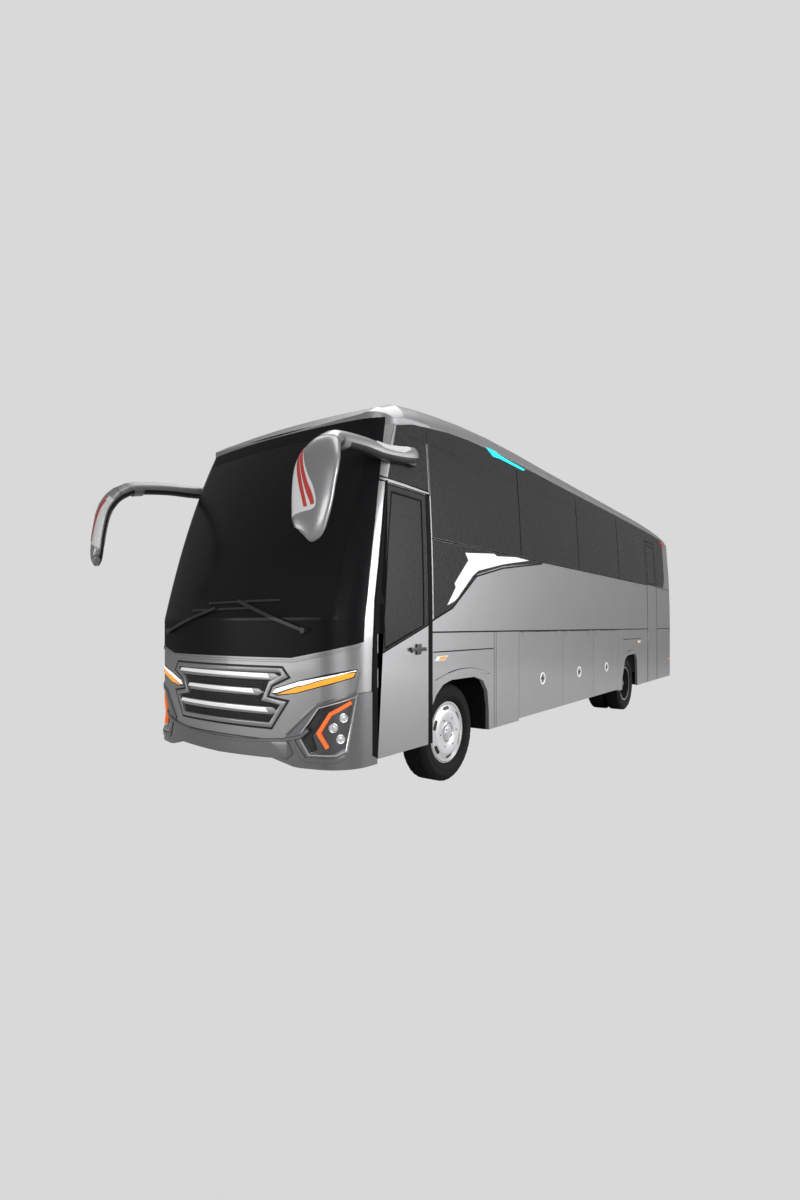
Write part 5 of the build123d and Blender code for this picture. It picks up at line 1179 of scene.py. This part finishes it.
unit = bmesh.new()
unit.from_mesh(nodes["roof_unit"].data)
bmesh.ops.remove_doubles(unit, verts=unit.verts[:], dist=0.00001)
for vert in unit.verts:
    vert.co.z -= guard_height * (vert.co.z - roof_low.z) / (roof_high.z - roof_low.z)
for face in unit.faces:
    face.material_index = 0
for middle in (0.62, 1.38):
    press(unit, disc_outline(middle, 0.0, 0.3, 48), unit_top, -0.004, 0.012, bevel=0.004, finish=0,
          inner=disc_outline(middle, 0.0, 0.262, 48))
    press(unit, disc_outline(middle, 0.0, 0.262, 48), unit_top, -0.006, 0.002, finish=1)
    for radius in (0.06, 0.11, 0.16, 0.21):
        press(unit, disc_outline(middle, 0.0, radius + 0.003, 36), unit_top, 0.002, 0.008, finish=1,
              inner=disc_outline(middle, 0.0, radius - 0.003, 36))
    for i in range(8):
        turn = math.pi * i / 8
        reach = 0.264
        start = (middle - reach * math.cos(turn), -reach * math.sin(turn))
        end = (middle + reach * math.cos(turn), reach * math.sin(turn))
        trim_line(unit, [start, end], 0.003, unit_top, 0.003, 0.01, finish=1)
make_piece("roof_unit_fans", unit, [body_paint, black_plastic], "coach", ["roof_unit"])

# Seats. Coach seats in pairs on steel legs: a stuffed cushion and a tall stuffed back each, in woven
# cloth with a sewn middle panel, bolted to the floor; the driver has one of his own.
seat_cloth = make_finish("seat_cloth", (0.055, 0.06, 0.085), 0.88, mottle=0.12, grain=600.0, bump=0.35)
seat_shell = make_finish("seat_shell", (0.06, 0.06, 0.065), 0.5)


def pillow(bm, centre, half, lean, puff=0.012):
    """Add a stuffed pad: a box with round edges that bulges between its seams."""
    pad = bmesh.new()
    bmesh.ops.create_cube(pad, size=2.0)
    bmesh.ops.subdivide_edges(pad, edges=pad.edges[:], cuts=7, use_grid_fill=True)
    for vert in pad.verts:
        p = vert.co.copy()
        length = sum(abs(c) ** 6 for c in p) ** (1 / 6)
        p /= length
        swell = 1 + puff * 6 * (1 - p.x * p.x) * (1 - p.z * p.z if half[2] > half[1] else 1 - p.y * p.y)
        seam = 0.1 * math.exp(-((abs(p.x) - 0.62) / 0.06) ** 2)
        q = Vector((p.x * half[0], p.y * half[1], p.z * half[2]))
        thin = 1 if half[1] < half[2] else 2
        q[thin] *= swell * (1 - seam)
        vert.co = Vector(centre) + Vector((q.x, q.y * math.cos(lean) + q.z * math.sin(lean),
                                           q.z * math.cos(lean) - q.y * math.sin(lean)))
    add_mesh(bm, pad)


pads = bmesh.new()
frames = bmesh.new()
benches = []
seat_floor, seat_pitch = 1.3, 0.78
door_gap = (3.022, 4.455)
row = -4.15
while row < 4.7:
    if not door_gap[0] < row < door_gap[1]:
        benches.append((0.27, 1.16, row, seat_floor))
    benches.append((-1.16, -0.27, row, seat_floor))
    row += seat_pitch
for x0, x1, y, z in benches:
    for a, b in ((x0, (x0 + x1) / 2), ((x0 + x1) / 2, x1)):
        wide = (b - a) / 2 - 0.008
        pillow(pads, ((a + b) / 2, y + 0.235, z + 0.42), (wide, 0.235, 0.062), 0.05)
        pillow(pads, ((a + b) / 2, y + 0.555, z + 0.755), (wide, 0.052, 0.355), 0.225)
    for leg in (x0 + 0.085, x1 - 0.085):
        slab(frames, (leg - 0.025, y + 0.08, z), (leg + 0.025, y + 0.38, z + 0.375), 0.006)
        slab(frames, (leg - 0.045, y + 0.05, z), (leg + 0.045, y + 0.41, z + 0.012), 0.003)
    for rest in (x0 + 0.012, x1 - 0.012):
        slab(frames, (rest - 0.012, y + 0.12, z + 0.56), (rest + 0.012, y + 0.47, z + 0.6), 0.008)
x0, x1, y, z = -0.9, -0.42, -4.74, 0.95
pillow(pads, ((x0 + x1) / 2, y + 0.235, z + 0.42), (0.225, 0.235, 0.062), 0.05)
pillow(pads, ((x0 + x1) / 2, y + 0.555, z + 0.755), (0.225, 0.052, 0.355), 0.225)
slab(frames, (x0 + 0.12, y + 0.1, z), (x1 - 0.12, y + 0.38, z + 0.37), 0.02)
seat_pads = make_piece("seat_pads", pads, [seat_cloth], "coach", ["seats"], crease=60)
make_piece("seat_frames", frames, [seat_shell], "coach", ["seats"])
low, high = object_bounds()
sizes = {"cad": [list(cad_low), list(cad_high)], "visual": [list(low), list(high)]}
